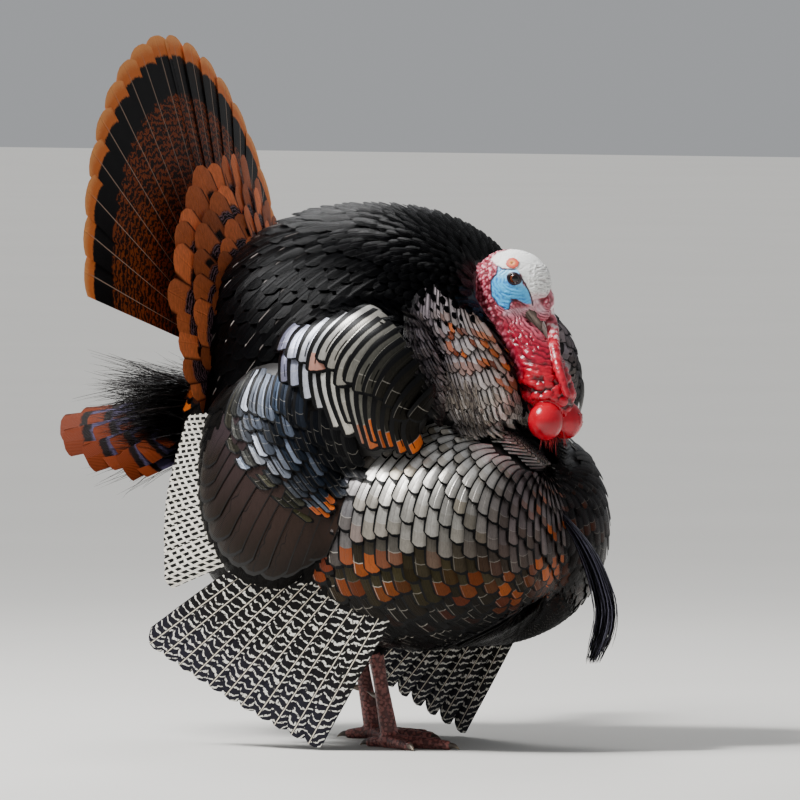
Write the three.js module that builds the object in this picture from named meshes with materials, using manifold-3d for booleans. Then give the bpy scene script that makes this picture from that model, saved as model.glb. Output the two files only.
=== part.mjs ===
// A wild turkey gobbler in full strut, life size, as a museum's still model: one solid for each part of the body.
// Millimetres. +X is the way the bird faces, +Y is its left and +Z is up. The origin is under the middle of the
// whole bird, on the floor that its soles and wing tips touch.
import * as THREE from "three";
import { mergeVertices } from "three/addons/utils/BufferGeometryUtils.js";
import Module from "manifold-3d";

const wasm = await Module();
wasm.setup();

// ---------------------------------------------------------------- driving dimensions
const GAP = 0.3; // between parts that meet
const V = (x, y, z) => new THREE.Vector3(x, y, z);
const degrees = THREE.MathUtils.degToRad;
const SIDES = { right: -1, left: 1 };

// The raised feathers make the body a few soft balls: centre, half sizes and squareness of each.
const BACK = { at: V(16, 0, 432), half: V(214, 168, 215), square: 2.35 };
const BREAST = { at: V(121, 50, 263), half: V(176, 142, 147), square: 2.2 };
const BELLY = { at: V(-62, 0, 335), half: V(168, 158, 196), square: 2.2 };
const RUFF = { at: V(158, 40, 463), half: V(74, 68, 104), square: 2.2, pitch: -34 };
const SCAPULARS = { at: V(98, 150, 430), half: V(112, 54, 100), square: 2.3, pitch: -8 };
const COVERTS = { at: V(-12, 160, 328), half: V(108, 58, 142), square: 2.2, pitch: 4 };

// The head is turned a little to the bird's left, with its bill down. These are in the head's own frame.
const HEAD_AT = V(216, 2, 556);
const HEAD_TURN = 16;
const HEAD_HALF = V(46, 28, 38.5);
const EYE_RADIUS = 8.2;
const EYE_AT = V(9.4, 21.6, 4.6); // the left one
const BILL_ROOT = V(10, 0, -21);
const BILL_PITCH = 50;
const BILL_LENGTH = 50; // from its root, deep in the head
const BILL_HALF_WIDTH = 10;

// The bare neck runs from the head down to the two bulbs of the wattle.
const NECK_ROUTE = [
  V(194, 0, 552),
  V(197, 0, 530),
  V(207, 0, 508),
  V(225, 0, 486),
  V(251, 0, 457),
  V(271, 0, 420),
];
const NECK_RADII = [24, 29, 25, 26.5, 30, 26];
const WATTLE = { at: V(277, 21.6, 392), half: V(20.8, 21.4, 22.8), square: 2 };
const SNOOD_ROUTE = [
  V(250, 12, 549),
  V(255, 18, 538),
  V(249, 27, 521),
  V(256, 26, 505),
  V(265, 15, 490),
  V(278, -2, 474),
  V(289, -12, 456),
  V(298, -16, 438),
  V(303, -14, 423),
];
const SNOOD_RADII = [7, 7.6, 7.2, 7, 6.6, 6, 5.6, 5.2, 4.2];
const BEARD_ROUTE = [
  V(282, 0, 284),
  V(312, 0, 252),
  V(333, 0, 216),
  V(347, 0, 174),
  V(345, 0, 146),
  V(330, 0, 106),
];
const BEARD_WIDTHS = [7, 10, 13, 14, 11, 3];

// The tail: a fan of 18 long feathers, leaning back and turned a little to the bird's left.
const TAIL_ROOT = V(-165, 0, 450);
const TAIL_LEAN = 15;
const TAIL_TURN = 12;
const TAIL_FEATHERS = 18;
const TAIL_SPREAD = 71; // each side of upright
const TAIL_LENGTH = 412; // middle feathers
const TAIL_SIDE_LENGTH = 342; // outermost feathers
const TAIL_SWEEP = 0.21; // how far the sides are swept back
const RUMP_FAN_LENGTH = 256; // the orange coverts over the base of the tail
const RUMP_FAN_SIDE_LENGTH = 158;
const RUMP_FAN_SPREAD = 112;

// The coverts under the tail lie nearly level behind the body.
const VENT_ROOT = V(-178, 0, 402);
const VENT_LENGTH = 232;
const VENT_SIDE_LENGTH = 180;
const VENT_SPREAD = 86;
const VENT_FEATHERS = 11;

// The drooped wings: the wrist is under the breast's edge and the tips are on the floor.
const WRIST = V(172, 150, 214);
const ELBOW = V(-12, 184, 396);
const PRIMARIES = 10;
const PRIMARY_LENGTHS = [247, 226]; // first, by the legs, to last
const PRIMARY_SLANTS = [-31, -58]; // degrees from straight down, towards the tail
const SECONDARY_LENGTHS = [180, 126];
const SECONDARY_SLANTS = [-70, -86];
const VANE = 5; // thickness of a layer of long feathers

// Legs. The right foot is a step ahead of the left one.
const LEG_Y = 64;
const FOOT_X = { right: 84, left: -24 };
const HOCK_BACK = 28;
const HOCK_HEIGHT = 150;
const SHANK_RADIUS = 8.5;
const TOE_RADIUS = 7;
const TOE_HEIGHT = 5; // of a toe's middle line: the sole is cut flat at the floor
const TOES = [
  { name: "inner", length: 58, turn: 38 },
  { name: "middle", length: 82, turn: 0 },
  { name: "outer", length: 62, turn: -36 },
  { name: "hind", length: 30, turn: 172 },
];
const CLAW_LENGTH = 17;
const SPUR_LENGTH = 26;

// ---------------------------------------------------------------- building blocks
const bend = (route) => new THREE.CatmullRomCurve3(route, false, "centripetal");
const mirrored = (v, side) => V(v.x, v.y * side, v.z);

// A number that runs smoothly through a list of values as t goes from 0 to 1.
function along(values, t) {
  const at = Math.min(Math.max(t, 0), 1) * (values.length - 1);
  const i = Math.min(Math.floor(at), values.length - 2);
  const part = at - i;
  return THREE.MathUtils.lerp(values[i], values[i + 1], part * part * (3 - 2 * part));
}

// A closed solid from rings of points, each ring with the same count, closed at both ends with a cap.
function ringed(rings) {
  const points = [];
  const faces = [];
  const sides = rings[0].length;
  const middle = (ring) => ring.reduce((sum, p) => sum.add(p), V(0, 0, 0)).divideScalar(ring.length);
  rings.forEach((ring) => points.push(...ring));
  points.push(middle(rings[0]), middle(rings.at(-1)));
  const [first, last] = [points.length - 2, points.length - 1];
  for (let k = 0; k < sides; k++) {
    const next = (k + 1) % sides;
    faces.push(first, next, k);
    const top = (rings.length - 1) * sides;
    faces.push(last, top + k, top + next);
    for (let r = 0; r + 1 < rings.length; r++) {
      const [a, b, c, d] = [r * sides + k, r * sides + next, (r + 1) * sides + next, (r + 1) * sides + k];
      faces.push(a, b, c, a, c, d);
    }
  }
  return solid(new THREE.BufferGeometry().setFromPoints(points).setIndex(faces));
}

// A three.js geometry as a manifold-3d solid, with its faces turned out.
function solid(geometry) {
  geometry.deleteAttribute("normal");
  geometry.deleteAttribute("uv");
  const merged = mergeVertices(geometry, 1e-4);
  const make = (triVerts) =>
    new wasm.Manifold(
      new wasm.Mesh({ numProp: 3, vertProperties: merged.attributes.position.array, triVerts }),
    );
  const faces = new Uint32Array(merged.index.array);
  const made = make(faces);
  if (made.volume() > 0) return made;
  for (let i = 0; i < faces.length; i += 3) [faces[i + 1], faces[i + 2]] = [faces[i + 2], faces[i + 1]];
  return make(faces);
}

// A ball with three half sizes. Above 2 its squareness flattens the sides; pitch tips it about Y.
function ball({ at, half, square = 2, pitch = 0, turn = 0 }, grow = 0, segments = [24, 16]) {
  const geometry = new THREE.SphereGeometry(1, segments[0], segments[1]);
  geometry.rotateX(Math.PI / 2);
  const position = geometry.attributes.position;
  const p = V(0, 0, 0);
  for (let i = 0; i < position.count; i++) {
    p.fromBufferAttribute(position, i);
    const sum = [p.x, p.y, p.z].reduce((s, c) => s + Math.abs(c) ** square, 0);
    p.multiplyScalar(sum ** (-1 / square));
    position.setXYZ(i, p.x * (half.x + grow), p.y * (half.y + grow), p.z * (half.z + grow));
  }
  geometry.rotateY(degrees(pitch));
  geometry.rotateZ(degrees(turn));
  geometry.translate(at.x, at.y, at.z);
  return solid(geometry);
}

// A tube with round ends along a route. Flatness squeezes it across the bird.
function tube(route, radii, { sides = 12, steps = 14, flat = 1, grow = 0, ends = 3 } = {}) {
  const curve = bend(route);
  const stations = [];
  for (let k = ends; k > 0; k--) stations.push([0, k / ends]);
  for (let i = 0; i <= steps; i++) stations.push([i / steps, 0]);
  for (let k = 1; k <= ends; k++) stations.push([1, k / ends]);
  const rings = stations.map(([t, past]) => {
    const ahead = curve.getTangentAt(t);
    const across = V(0, 1, 0).cross(ahead).normalize();
    const side = ahead.clone().cross(across).normalize();
    const radius = along(radii, t) + grow;
    const angle = past * degrees(80);
    const centre = curve.getPointAt(t).addScaledVector(ahead, (t < 0.5 ? -1 : 1) * radius * Math.sin(angle));
    return Array.from({ length: sides }, (_, k) => {
      const turn = (2 * Math.PI * k) / sides;
      const reach = radius * Math.cos(angle);
      return centre
        .clone()
        .addScaledVector(across, reach * Math.cos(turn))
        .addScaledVector(side, reach * flat * Math.sin(turn));
    });
  });
  return ringed(rings);
}

// A layer of long feathers: place(across, out) gives a point of its middle surface, with across and out from 0 to 1,
// and thick(across, out) its half thickness along facing(across, out). It is one plate with a scalloped far edge.
function plate(place, facing, thick, columns, rows, grow = 0) {
  const rings = [];
  for (let i = 0; i <= columns; i++) {
    const across = i / columns;
    const ring = [];
    for (const side of [1, -1]) {
      for (let j = 0; j <= rows; j++) {
        const out = side > 0 ? j / rows : 1 - j / rows;
        const rise = side * (thick(across, out) + grow);
        ring.push(place(across, out, grow).addScaledVector(facing(across, out), rise));
      }
    }
    rings.push(ring);
  }
  return ringed(rings);
}

// The scalloped edge of a row of feathers, as a share of their length.
const scallop = (count, across, depth) => 1 - depth * (1 - Math.abs(Math.sin(Math.PI * count * across))) ** 2;

const mm3 = (made) => made.volume();
const largest = (made) => made.decompose().sort((a, b) => mm3(b) - mm3(a))[0];
const joined = (parts) => parts.reduce((sum, part) => sum.add(part));
const cut = (made, ...others) => largest(others.reduce((left, other) => left.subtract(other), made));

// What is above the floor.
const UNDERFLOOR = solid(new THREE.BoxGeometry(1600, 1600, 200).translate(0, 0, -100));

// ---------------------------------------------------------------- head and neck
const headMatrix = new THREE.Matrix4()
  .makeTranslation(HEAD_AT.x, HEAD_AT.y, HEAD_AT.z)
  .multiply(new THREE.Matrix4().makeRotationZ(degrees(HEAD_TURN)));
const onHead = (v) => v.clone().applyMatrix4(headMatrix);
const billMatrix = new THREE.Matrix4()
  .makeTranslation(BILL_ROOT.x, BILL_ROOT.y, BILL_ROOT.z)
  .multiply(new THREE.Matrix4().makeRotationY(degrees(BILL_PITCH)));

// The skull is narrower towards the bill.
function headSolid(grow = 0) {
  const geometry = new THREE.SphereGeometry(1, 16, 10).rotateZ(Math.PI / 2);
  const position = geometry.attributes.position;
  for (let i = 0; i < position.count; i++) {
    const [x, y, z] = [position.getX(i), position.getY(i), position.getZ(i)];
    const taper = x > 0 ? 1 - 0.3 * x * x : 1;
    position.setXYZ(
      i,
      x * (HEAD_HALF.x + grow),
      y * (HEAD_HALF.y * taper + grow),
      z * (HEAD_HALF.z + grow),
    );
  }
  return solid(geometry.applyMatrix4(headMatrix));
}

function eyeSolid(side, grow = 0) {
  const at = onHead(mirrored(EYE_AT, side));
  return ball({ at, half: V(EYE_RADIUS, EYE_RADIUS, EYE_RADIUS) }, grow, [10, 6]);
}

// One half of the bill, from the front of the head to its tip.
function billSolid(upper, grow = 0) {
  const rows = 5;
  const rings = [];
  const length = upper ? BILL_LENGTH : BILL_LENGTH - 4;
  for (let i = 0; i <= rows; i++) {
    const t = 0.14 + (0.86 * i) / rows;
    const left = Math.sqrt(1 - t * t * 0.97);
    const width = BILL_HALF_WIDTH * left + grow;
    const x = length * t;
    const droop = -5 * ((length * t) / BILL_LENGTH) ** 3;
    const [low, high] = upper ? [0.3 - grow, 12 * left + 0.6 + grow] : [-0.7 - 7 * left - grow, -0.3 + grow];
    const corners = upper
      ? [[-1, 0], [-0.8, 0.55], [0, 1], [0.8, 0.55], [1, 0]]
      : [[-1, 1], [1, 1], [0.8, 0.35], [0, 0], [-0.8, 0.35]];
    const place = ([y, z]) => onHead(V(x, y * width, droop + low + (high - low) * z).applyMatrix4(billMatrix));
    rings.push(corners.map(place));
  }
  return ringed(rings);
}

const snoodSolid = (grow = 0) => tube(SNOOD_ROUTE, SNOOD_RADII, { sides: 6, steps: 11, grow, ends: 1 });
const neckSolid = (grow = 0) => tube(NECK_ROUTE, NECK_RADII, { sides: 10, steps: 6, grow, ends: 1 });
const wattleSolid = (side, grow = 0) => ball({ ...WATTLE, at: mirrored(WATTLE.at, side) }, grow, [10, 7]);

// ---------------------------------------------------------------- body
const onSide = (shape, side) => ({ ...shape, at: mirrored(shape.at, side) });
const pairOf = (shape, grow, segments) => [-1, 1].map((side) => ball(onSide(shape, side), grow, segments));
const ruffSolid = (grow = 0) => joined(pairOf(RUFF, grow, [12, 8]));
const trunkSolid = (grow = 0) =>
  joined([ball(BACK, grow, [18, 12]), ball(BELLY, grow, [12, 8]), ...pairOf(BREAST, grow, [16, 10])]);
const beardSolid = () => tube(BEARD_ROUTE, BEARD_WIDTHS, { sides: 8, steps: 8, flat: 0.6, ends: 1 });

// ---------------------------------------------------------------- tail
const tailMatrix = new THREE.Matrix4()
  .makeTranslation(TAIL_ROOT.x, TAIL_ROOT.y, TAIL_ROOT.z)
  .multiply(new THREE.Matrix4().makeRotationZ(degrees(TAIL_TURN)))
  .multiply(new THREE.Matrix4().makeRotationY(degrees(-TAIL_LEAN)));

// A fan that stands on the tail's root: x is how far it bulges to the front.
function fanPlate(shape, grow = 0) {
  const { spread, lengths, count, depth, near, ahead, forward, thick, columns, rows, sweep } = shape;
  const facing = () => V(1, 0, 0).transformDirection(tailMatrix);
  const place = (across, out, extra) => {
    const angle = degrees((2 * across - 1) * (spread + extra * 0.2));
    const share = Math.abs(2 * across - 1);
    const even = lengths[0] + (lengths[1] - lengths[0]) * share ** 1.6;
    const full = even * scallop(count, across, depth) + extra;
    const radius = near + (full - near) * out;
    const x = ahead + forward * (1 - out) ** 1.5 - sweep * radius * (1 - Math.cos(angle));
    return V(x, radius * Math.sin(angle), radius * Math.cos(angle)).applyMatrix4(tailMatrix);
  };
  return plate(place, facing, thick, columns, rows, grow);
}

const tailFan = (grow = 0) =>
  fanPlate(
    {
      spread: TAIL_SPREAD,
      lengths: [TAIL_LENGTH, TAIL_SIDE_LENGTH],
      count: TAIL_FEATHERS,
      depth: 0.035,
      near: 40,
      ahead: 0,
      forward: 0,
      sweep: TAIL_SWEEP,
      thick: (across, out) => 2.2 + 5 * (1 - out),
      columns: TAIL_FEATHERS * 2,
      rows: 2,
    },
    grow,
  );

const rumpFan = (grow = 0) =>
  fanPlate(
    {
      spread: RUMP_FAN_SPREAD,
      lengths: [RUMP_FAN_LENGTH, RUMP_FAN_SIDE_LENGTH],
      count: 13,
      depth: 0.05,
      near: 30,
      ahead: 34,
      forward: 14,
      sweep: TAIL_SWEEP,
      thick: (across, out) => 9 + 22 * (1 - out),
      columns: 26,
      rows: 2,
    },
    grow,
  );

function ventFan(grow = 0) {
  const place = (across, out, extra) => {
    const angle = degrees((2 * across - 1) * VENT_SPREAD);
    const share = Math.abs(2 * across - 1);
    const even = VENT_LENGTH + (VENT_SIDE_LENGTH - VENT_LENGTH) * share;
    const full = even * scallop(VENT_FEATHERS, across, 0.06) + extra;
    const radius = 20 + (full - 20) * out;
    const droop = -0.1 * radius - 0.3 * radius * Math.sin(angle) ** 2;
    return VENT_ROOT.clone().add(V(-radius * Math.cos(angle), -radius * Math.sin(angle), droop));
  };
  return plate(place, () => V(0, 0, 1), (across, out) => 4 + 34 * (1 - out) ** 1.3, 22, 2, grow);
}

// ---------------------------------------------------------------- wings
const scapularSolid = (side, grow = 0) =>
  ball({ ...SCAPULARS, at: mirrored(SCAPULARS.at, side) }, grow, [12, 8]);
const covertSolid = (side, grow = 0) => ball({ ...COVERTS, at: mirrored(COVERTS.at, side) }, grow, [12, 8]);

// Long wing feathers from a line of roots, slanting from straight down towards the tail.
function wingPlate(side, { roots, lengths, slants, count, columns, rows, bow, outward }, grow = 0) {
  const rootLine = bend(roots);
  const place = (across, out, extra) => {
    const slant = degrees(THREE.MathUtils.lerp(slants[0], slants[1], across));
    const length = THREE.MathUtils.lerp(lengths[0], lengths[1], across) * scallop(count, across, 0.06) + extra;
    const root = rootLine.getPoint(across);
    const reach = length * out;
    const point = root.clone().add(V(Math.sin(slant) * reach, 0, -Math.cos(slant) * reach));
    point.y += outward * out + bow * Math.sin(Math.PI * out);
    return mirrored(point, side);
  };
  const facing = () => V(0, side, 0);
  return plate(place, facing, (across, out) => VANE * (1 - 0.5 * out), columns, rows, grow);
}

const primarySolid = (side, grow = 0) =>
  wingPlate(
    side,
    {
      roots: [WRIST, V(88, 163, 230), V(3, 175, 247)],
      lengths: PRIMARY_LENGTHS,
      slants: PRIMARY_SLANTS,
      count: PRIMARIES,
      columns: PRIMARIES * 2,
      rows: 2,
      bow: 4,
      outward: 12,
    },
    grow,
  );

const secondarySolid = (side, grow = 0) =>
  wingPlate(
    side,
    {
      roots: [V(2, 186, 254), V(-12, 190, 320), ELBOW],
      lengths: SECONDARY_LENGTHS,
      slants: SECONDARY_SLANTS,
      count: 9,
      columns: 18,
      rows: 3,
      bow: 8,
      outward: -14,
    },
    grow,
  );

// ---------------------------------------------------------------- legs
const footAt = (side, name) => V(FOOT_X[name], side * LEG_Y, 0);
const hockAt = (side, name) => footAt(side, name).add(V(-HOCK_BACK, 0, HOCK_HEIGHT));

function thighSolid(side, name, grow = 0) {
  const hock = hockAt(side, name);
  const hip = V(hock.x + 34, side * (LEG_Y + 22), 236);
  const cuff = hock.clone().lerp(footAt(side, name), 0.2);
  return tube([hip, hip.clone().lerp(hock, 0.5), hock, cuff], [52, 40, 24, 16], {
    sides: 10,
    steps: 4,
    grow,
    ends: 2,
  });
}

function shankSolid(side, name, grow = 0) {
  const foot = footAt(side, name).add(V(0, 0, 15));
  const hock = hockAt(side, name);
  const middle = foot.clone().lerp(hock, 0.5);
  return tube([foot, middle, hock], [SHANK_RADIUS + 2, SHANK_RADIUS, SHANK_RADIUS + 3], {
    sides: 8,
    steps: 3,
    grow,
    ends: 1,
  });
}

function toeTip(side, name, toe, past = 0) {
  const turn = degrees(toe.turn * -side);
  const reach = toe.length + past;
  return footAt(side, name).add(V(Math.cos(turn) * reach, Math.sin(turn) * reach, TOE_HEIGHT));
}

function footSolid(side, name, grow = 0) {
  const heel = footAt(side, name).add(V(0, 0, 7.5));
  const toes = TOES.map((toe) => {
    const tip = toeTip(side, name, toe);
    const knuckle = heel.clone().lerp(tip, 0.5).add(V(0, 0, 0.5));
    return tube([heel, knuckle, tip], [9, TOE_RADIUS, TOE_RADIUS - 1], { sides: 6, steps: 2, grow, ends: 0 });
  });
  return joined(toes).subtract(UNDERFLOOR);
}

function clawSolid(side, name, toe) {
  const from = toeTip(side, name, toe, 1.9);
  const to = toeTip(side, name, toe, CLAW_LENGTH).setZ(2);
  const arch = from.clone().lerp(to, 0.5).add(V(0, 0, 1.2));
  return tube([from, arch, to], [4.6, 3.4, 1.4], { sides: 6, steps: 3, ends: 0 }).subtract(UNDERFLOOR);
}

function spurSolid(side, name) {
  const from = hockAt(side, name).lerp(footAt(side, name).add(V(0, 0, 15)), 0.66);
  const inward = -side;
  const to = from.clone().add(V(-SPUR_LENGTH, inward * 5, 5));
  const arch = from.clone().lerp(to, 0.55).add(V(0, 0, -2));
  return tube([from, arch, to], [5, 4, 0.9], { sides: 6, steps: 3, ends: 0 });
}

// ---------------------------------------------------------------- the bird
const LOOKS = {
  crown: [0xe9e6e0, 0.5],
  horn: [0x8b8170, 0.45],
  eye: [0x1d0f0a, 0.1],
  red: [0xc1121f, 0.4],
  ruff: [0x544c46, 0.5],
  plumage: [0x2b2a28, 0.45],
  silver: [0x9a9c9e, 0.35],
  bronze: [0x4a3430, 0.35],
  barred: [0x77736e, 0.6],
  rust: [0xb4541f, 0.6],
  black: [0x17161a, 0.5],
  leg: [0xa8494a, 0.5],
};

const bird = new THREE.Group();

function part(name, look, made) {
  const data = made.getMesh();
  const positions = new Float32Array(data.numVert * 3);
  for (let i = 0; i < data.numVert; i++) {
    positions.set(data.vertProperties.subarray(i * data.numProp, i * data.numProp + 3), i * 3);
  }
  const geometry = new THREE.BufferGeometry();
  geometry.setAttribute("position", new THREE.BufferAttribute(positions, 3));
  geometry.setIndex(new THREE.BufferAttribute(data.triVerts, 1));
  geometry.computeVertexNormals();
  const [color, roughness] = LOOKS[look];
  const mesh = new THREE.Mesh(geometry, new THREE.MeshStandardMaterial({ color, roughness, metalness: 0 }));
  mesh.name = name;
  bird.add(mesh);
}

const bothSides = (make) => Object.entries(SIDES).forEach(([name, side]) => make(name, side));

// Each part is cut by the ones that it lies against, grown by the gap.
const wide = {
  head: headSolid(GAP),
  neck: neckSolid(GAP),
  snood: snoodSolid(GAP),
  wattles: joined([wattleSolid(-1, GAP), wattleSolid(1, GAP)]),
  ruff: ruffSolid(GAP),
  trunk: trunkSolid(GAP),
  rump: rumpFan(GAP),
  tail: tailFan(GAP),
};

function addHead() {
  const upper = billSolid(true);
  const lower = billSolid(false);
  part("head", "crown", cut(headSolid(), eyeSolid(-1, GAP), eyeSolid(1, GAP)));
  part("bill_upper", "horn", cut(upper, wide.head));
  part("bill_lower", "horn", cut(lower, wide.head, wide.neck));
  part("snood", "red", cut(snoodSolid(), wide.head, wide.neck, billSolid(true, GAP)));
  bothSides((name, side) => part(`eye_${name}`, "eye", eyeSolid(side)));
  const bills = [billSolid(true, GAP), billSolid(false, GAP)];
  part("neck", "red", cut(neckSolid(), wide.head, wide.snood, ...bills));
  bothSides((name, side) => {
    const half = solid(new THREE.BoxGeometry(400, 200, 1400).translate(250, side * (100 + GAP / 2), 400));
    part(`wattle_${name}`, "red", cut(wattleSolid(side).intersect(half), wide.neck, wide.snood));
  });
}

function addBody() {
  const front = [wide.head, wide.neck, wide.wattles, wide.snood];
  part("neck_ruff", "ruff", cut(ruffSolid(), ...front, billSolid(true, GAP), billSolid(false, GAP)));
  part("trunk", "plumage", cut(trunkSolid(), wide.ruff, ...front));
  part("beard", "black", cut(beardSolid(), wide.trunk));
  part("tail_coverts", "rust", cut(rumpFan(), wide.trunk, scapularSolid(-1, GAP), scapularSolid(1, GAP)));
  part("tail_fan", "rust", cut(tailFan(), wide.trunk, wide.rump));
  part("vent_coverts", "black", cut(ventFan(), wide.trunk, wide.rump, wide.tail));
}

function addWing(name, side) {
  const body = [wide.trunk, wide.ruff];
  const scapulars = scapularSolid(side, GAP);
  const coverts = covertSolid(side, GAP);
  const secondaries = secondarySolid(side, GAP);
  const others = [wide.rump, wide.tail, ventFan(GAP)];
  part(`scapulars_${name}`, "silver", cut(scapularSolid(side), ...body));
  part(`wing_coverts_${name}`, "bronze", cut(covertSolid(side), scapulars, ...body, ...others));
  part(`secondaries_${name}`, "barred", cut(secondarySolid(side), scapulars, coverts, ...body, ...others));
  part(`primaries_${name}`, "barred", cut(primarySolid(side), secondaries, coverts, ...body));
}

function addLeg(name, side) {
  const thigh = thighSolid(side, name, GAP);
  const shank = shankSolid(side, name, GAP);
  const foot = footSolid(side, name, GAP);
  part(`thigh_${name}`, "plumage", cut(thighSolid(side, name), wide.trunk, covertSolid(side, GAP)));
  part(`shank_${name}`, "leg", cut(shankSolid(side, name), thigh, wide.trunk));
  part(`foot_${name}`, "leg", cut(footSolid(side, name), shank));
  part(`spur_${name}`, "horn", cut(spurSolid(side, name), shank));
  TOES.forEach((toe) => part(`claw_${name}_${toe.name}`, "horn", clawSolid(side, name, toe)));
}

addHead();
addBody();
bothSides(addWing);
bothSides(addLeg);

// The origin goes under the middle of the bird's box, at the floor.
const box = new THREE.Box3().setFromObject(bird);
const middle = box.getCenter(V(0, 0, 0));
bird.position.set(-middle.x, -middle.y, -box.min.z);

export default bird;
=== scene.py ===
"""A wild turkey gobbler in full strut, as a still museum model.

The bird is worked out in millimetres in its own frame: +X is the way it faces, +Y its left and +Z up, with
the floor at 0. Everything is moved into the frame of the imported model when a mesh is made.
"""
import math

import bmesh
import bpy
import numpy as np
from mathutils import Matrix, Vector
from mathutils.kdtree import KDTree


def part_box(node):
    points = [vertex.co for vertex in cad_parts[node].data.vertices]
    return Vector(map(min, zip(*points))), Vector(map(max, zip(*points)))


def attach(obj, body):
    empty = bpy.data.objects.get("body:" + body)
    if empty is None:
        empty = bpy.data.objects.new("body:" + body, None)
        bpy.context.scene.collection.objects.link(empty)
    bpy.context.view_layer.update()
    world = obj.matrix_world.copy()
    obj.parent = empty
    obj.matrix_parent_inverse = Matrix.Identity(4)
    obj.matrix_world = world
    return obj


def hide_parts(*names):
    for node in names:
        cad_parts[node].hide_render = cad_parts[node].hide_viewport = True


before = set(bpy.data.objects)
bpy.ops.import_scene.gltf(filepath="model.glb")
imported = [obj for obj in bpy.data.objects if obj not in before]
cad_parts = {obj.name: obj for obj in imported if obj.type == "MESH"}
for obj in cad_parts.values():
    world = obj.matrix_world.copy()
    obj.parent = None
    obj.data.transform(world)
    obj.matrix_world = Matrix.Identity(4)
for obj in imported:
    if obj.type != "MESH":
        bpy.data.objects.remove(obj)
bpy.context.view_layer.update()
BODY = "root"
MM = 0.001


# ------------------------------------------------------------------ small vector tools
def vec(*values):
    return np.array(values, float)


def unit(v):
    return v / np.maximum(np.linalg.norm(v, axis=-1, keepdims=True), 1e-9)


def dot(a, b):
    return (a * b).sum(-1, keepdims=True)


def turned(axis, degrees):
    """The matrix that turns a column vector about X, Y or Z."""
    c, s = math.cos(math.radians(degrees)), math.sin(math.radians(degrees))
    if axis == "X":
        return np.array([[1, 0, 0], [0, c, -s], [0, s, c]])
    if axis == "Y":
        return np.array([[c, 0, s], [0, 1, 0], [-s, 0, c]])
    return np.array([[c, -s, 0], [s, c, 0], [0, 0, 1]])


def ramp(x, low, high):
    """0 below low, 1 above high and smooth between; low may be the larger one."""
    t = np.clip((x - low) / (high - low), 0, 1)
    return t * t * (3 - 2 * t)


def bell(x, middle, half_width):
    """1 at the middle, falling smoothly to 0 at the half width."""
    return 1 - ramp(np.abs(x - middle), 0, half_width)


def lerp(a, b, t):
    return a + (b - a) * t


def flat_colour(code):
    """A hex colour as linear red, green and blue."""
    channels = np.array([int(code[i : i + 2], 16) / 255 for i in (1, 3, 5)])
    return np.where(channels <= 0.04045, channels / 12.92, ((channels + 0.055) / 1.055) ** 2.4)


def painted(base, *layers):
    """Rows of colours, or of one hex colour, under hex colours laid on by an amount for each row."""
    if isinstance(base, str):
        base = np.tile(flat_colour(base), (len(layers[0][1]), 1))
    for code, amount in layers:
        base = lerp(base, flat_colour(code)[None, :], np.clip(amount, 0, 1)[:, None])
    return base


def with_fourth(rows, fourth):
    """Rows of three values, or one row, with a fourth value added."""
    return np.column_stack([rows, np.broadcast_to(fourth, len(rows))])


def run_of(line):
    """The length run at each point of a line."""
    return np.append(0, np.cumsum(np.linalg.norm(np.diff(line, axis=0), axis=1)))


def between(at, places, rows):
    """Rows of three values at places between given ones."""
    return np.stack([np.interp(at, places, rows[:, a]) for a in range(3)], axis=-1)


def way_back(azimuth, elevation):
    """The way from the bird to something that looks at it from these angles in degrees."""
    turn, rise = math.radians(azimuth), math.radians(elevation)
    return vec(math.sin(turn) * math.cos(rise), -math.cos(turn) * math.cos(rise), math.sin(rise))


def hashed(i, j, k, seed):
    """A steady random number from 0 to 1 for each whole lattice point."""
    h = (i * 374761393 + j * 668265263 + k * 2147483647 + seed * 1274126177) & 0xFFFFFFFF
    h = ((h ^ (h >> 13)) * 1274126177) & 0xFFFFFFFF
    return ((h ^ (h >> 16)) & 0xFFFFFF) / 0xFFFFFF


def noise(p, size, seed=0):
    """Smooth noise from 0 to 1 over points, with lumps of about this size."""
    q = p / size
    base = np.floor(q).astype(np.int64)
    f = q - base
    f = f * f * (3 - 2 * f)
    total = np.zeros(len(p))
    for corner in range(8):
        step = [(corner >> axis) & 1 for axis in range(3)]
        share = np.prod([f[:, a] if step[a] else 1 - f[:, a] for a in range(3)], axis=0)
        total += share * hashed(*(base[:, a] + step[a] for a in range(3)), seed)
    return total


def pebbles(p, size, seed=0):
    """Distance to the nearest of scattered points, in shares of their spacing, and that point's number."""
    q = p / size
    base = np.floor(q).astype(np.int64)
    nearest = np.full(len(p), 9.0)
    label = np.zeros(len(p))
    for step in np.ndindex(3, 3, 3):
        cell = [base[:, a] + step[a] - 1 for a in range(3)]
        spot = np.stack([cell[a] + hashed(*cell, seed + 11 * a) for a in range(3)], axis=1)
        far = np.linalg.norm(q - spot, axis=1)
        closer = far < nearest
        nearest = np.where(closer, far, nearest)
        label = np.where(closer, hashed(*cell, seed + 77), label)
    return nearest, label


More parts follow.
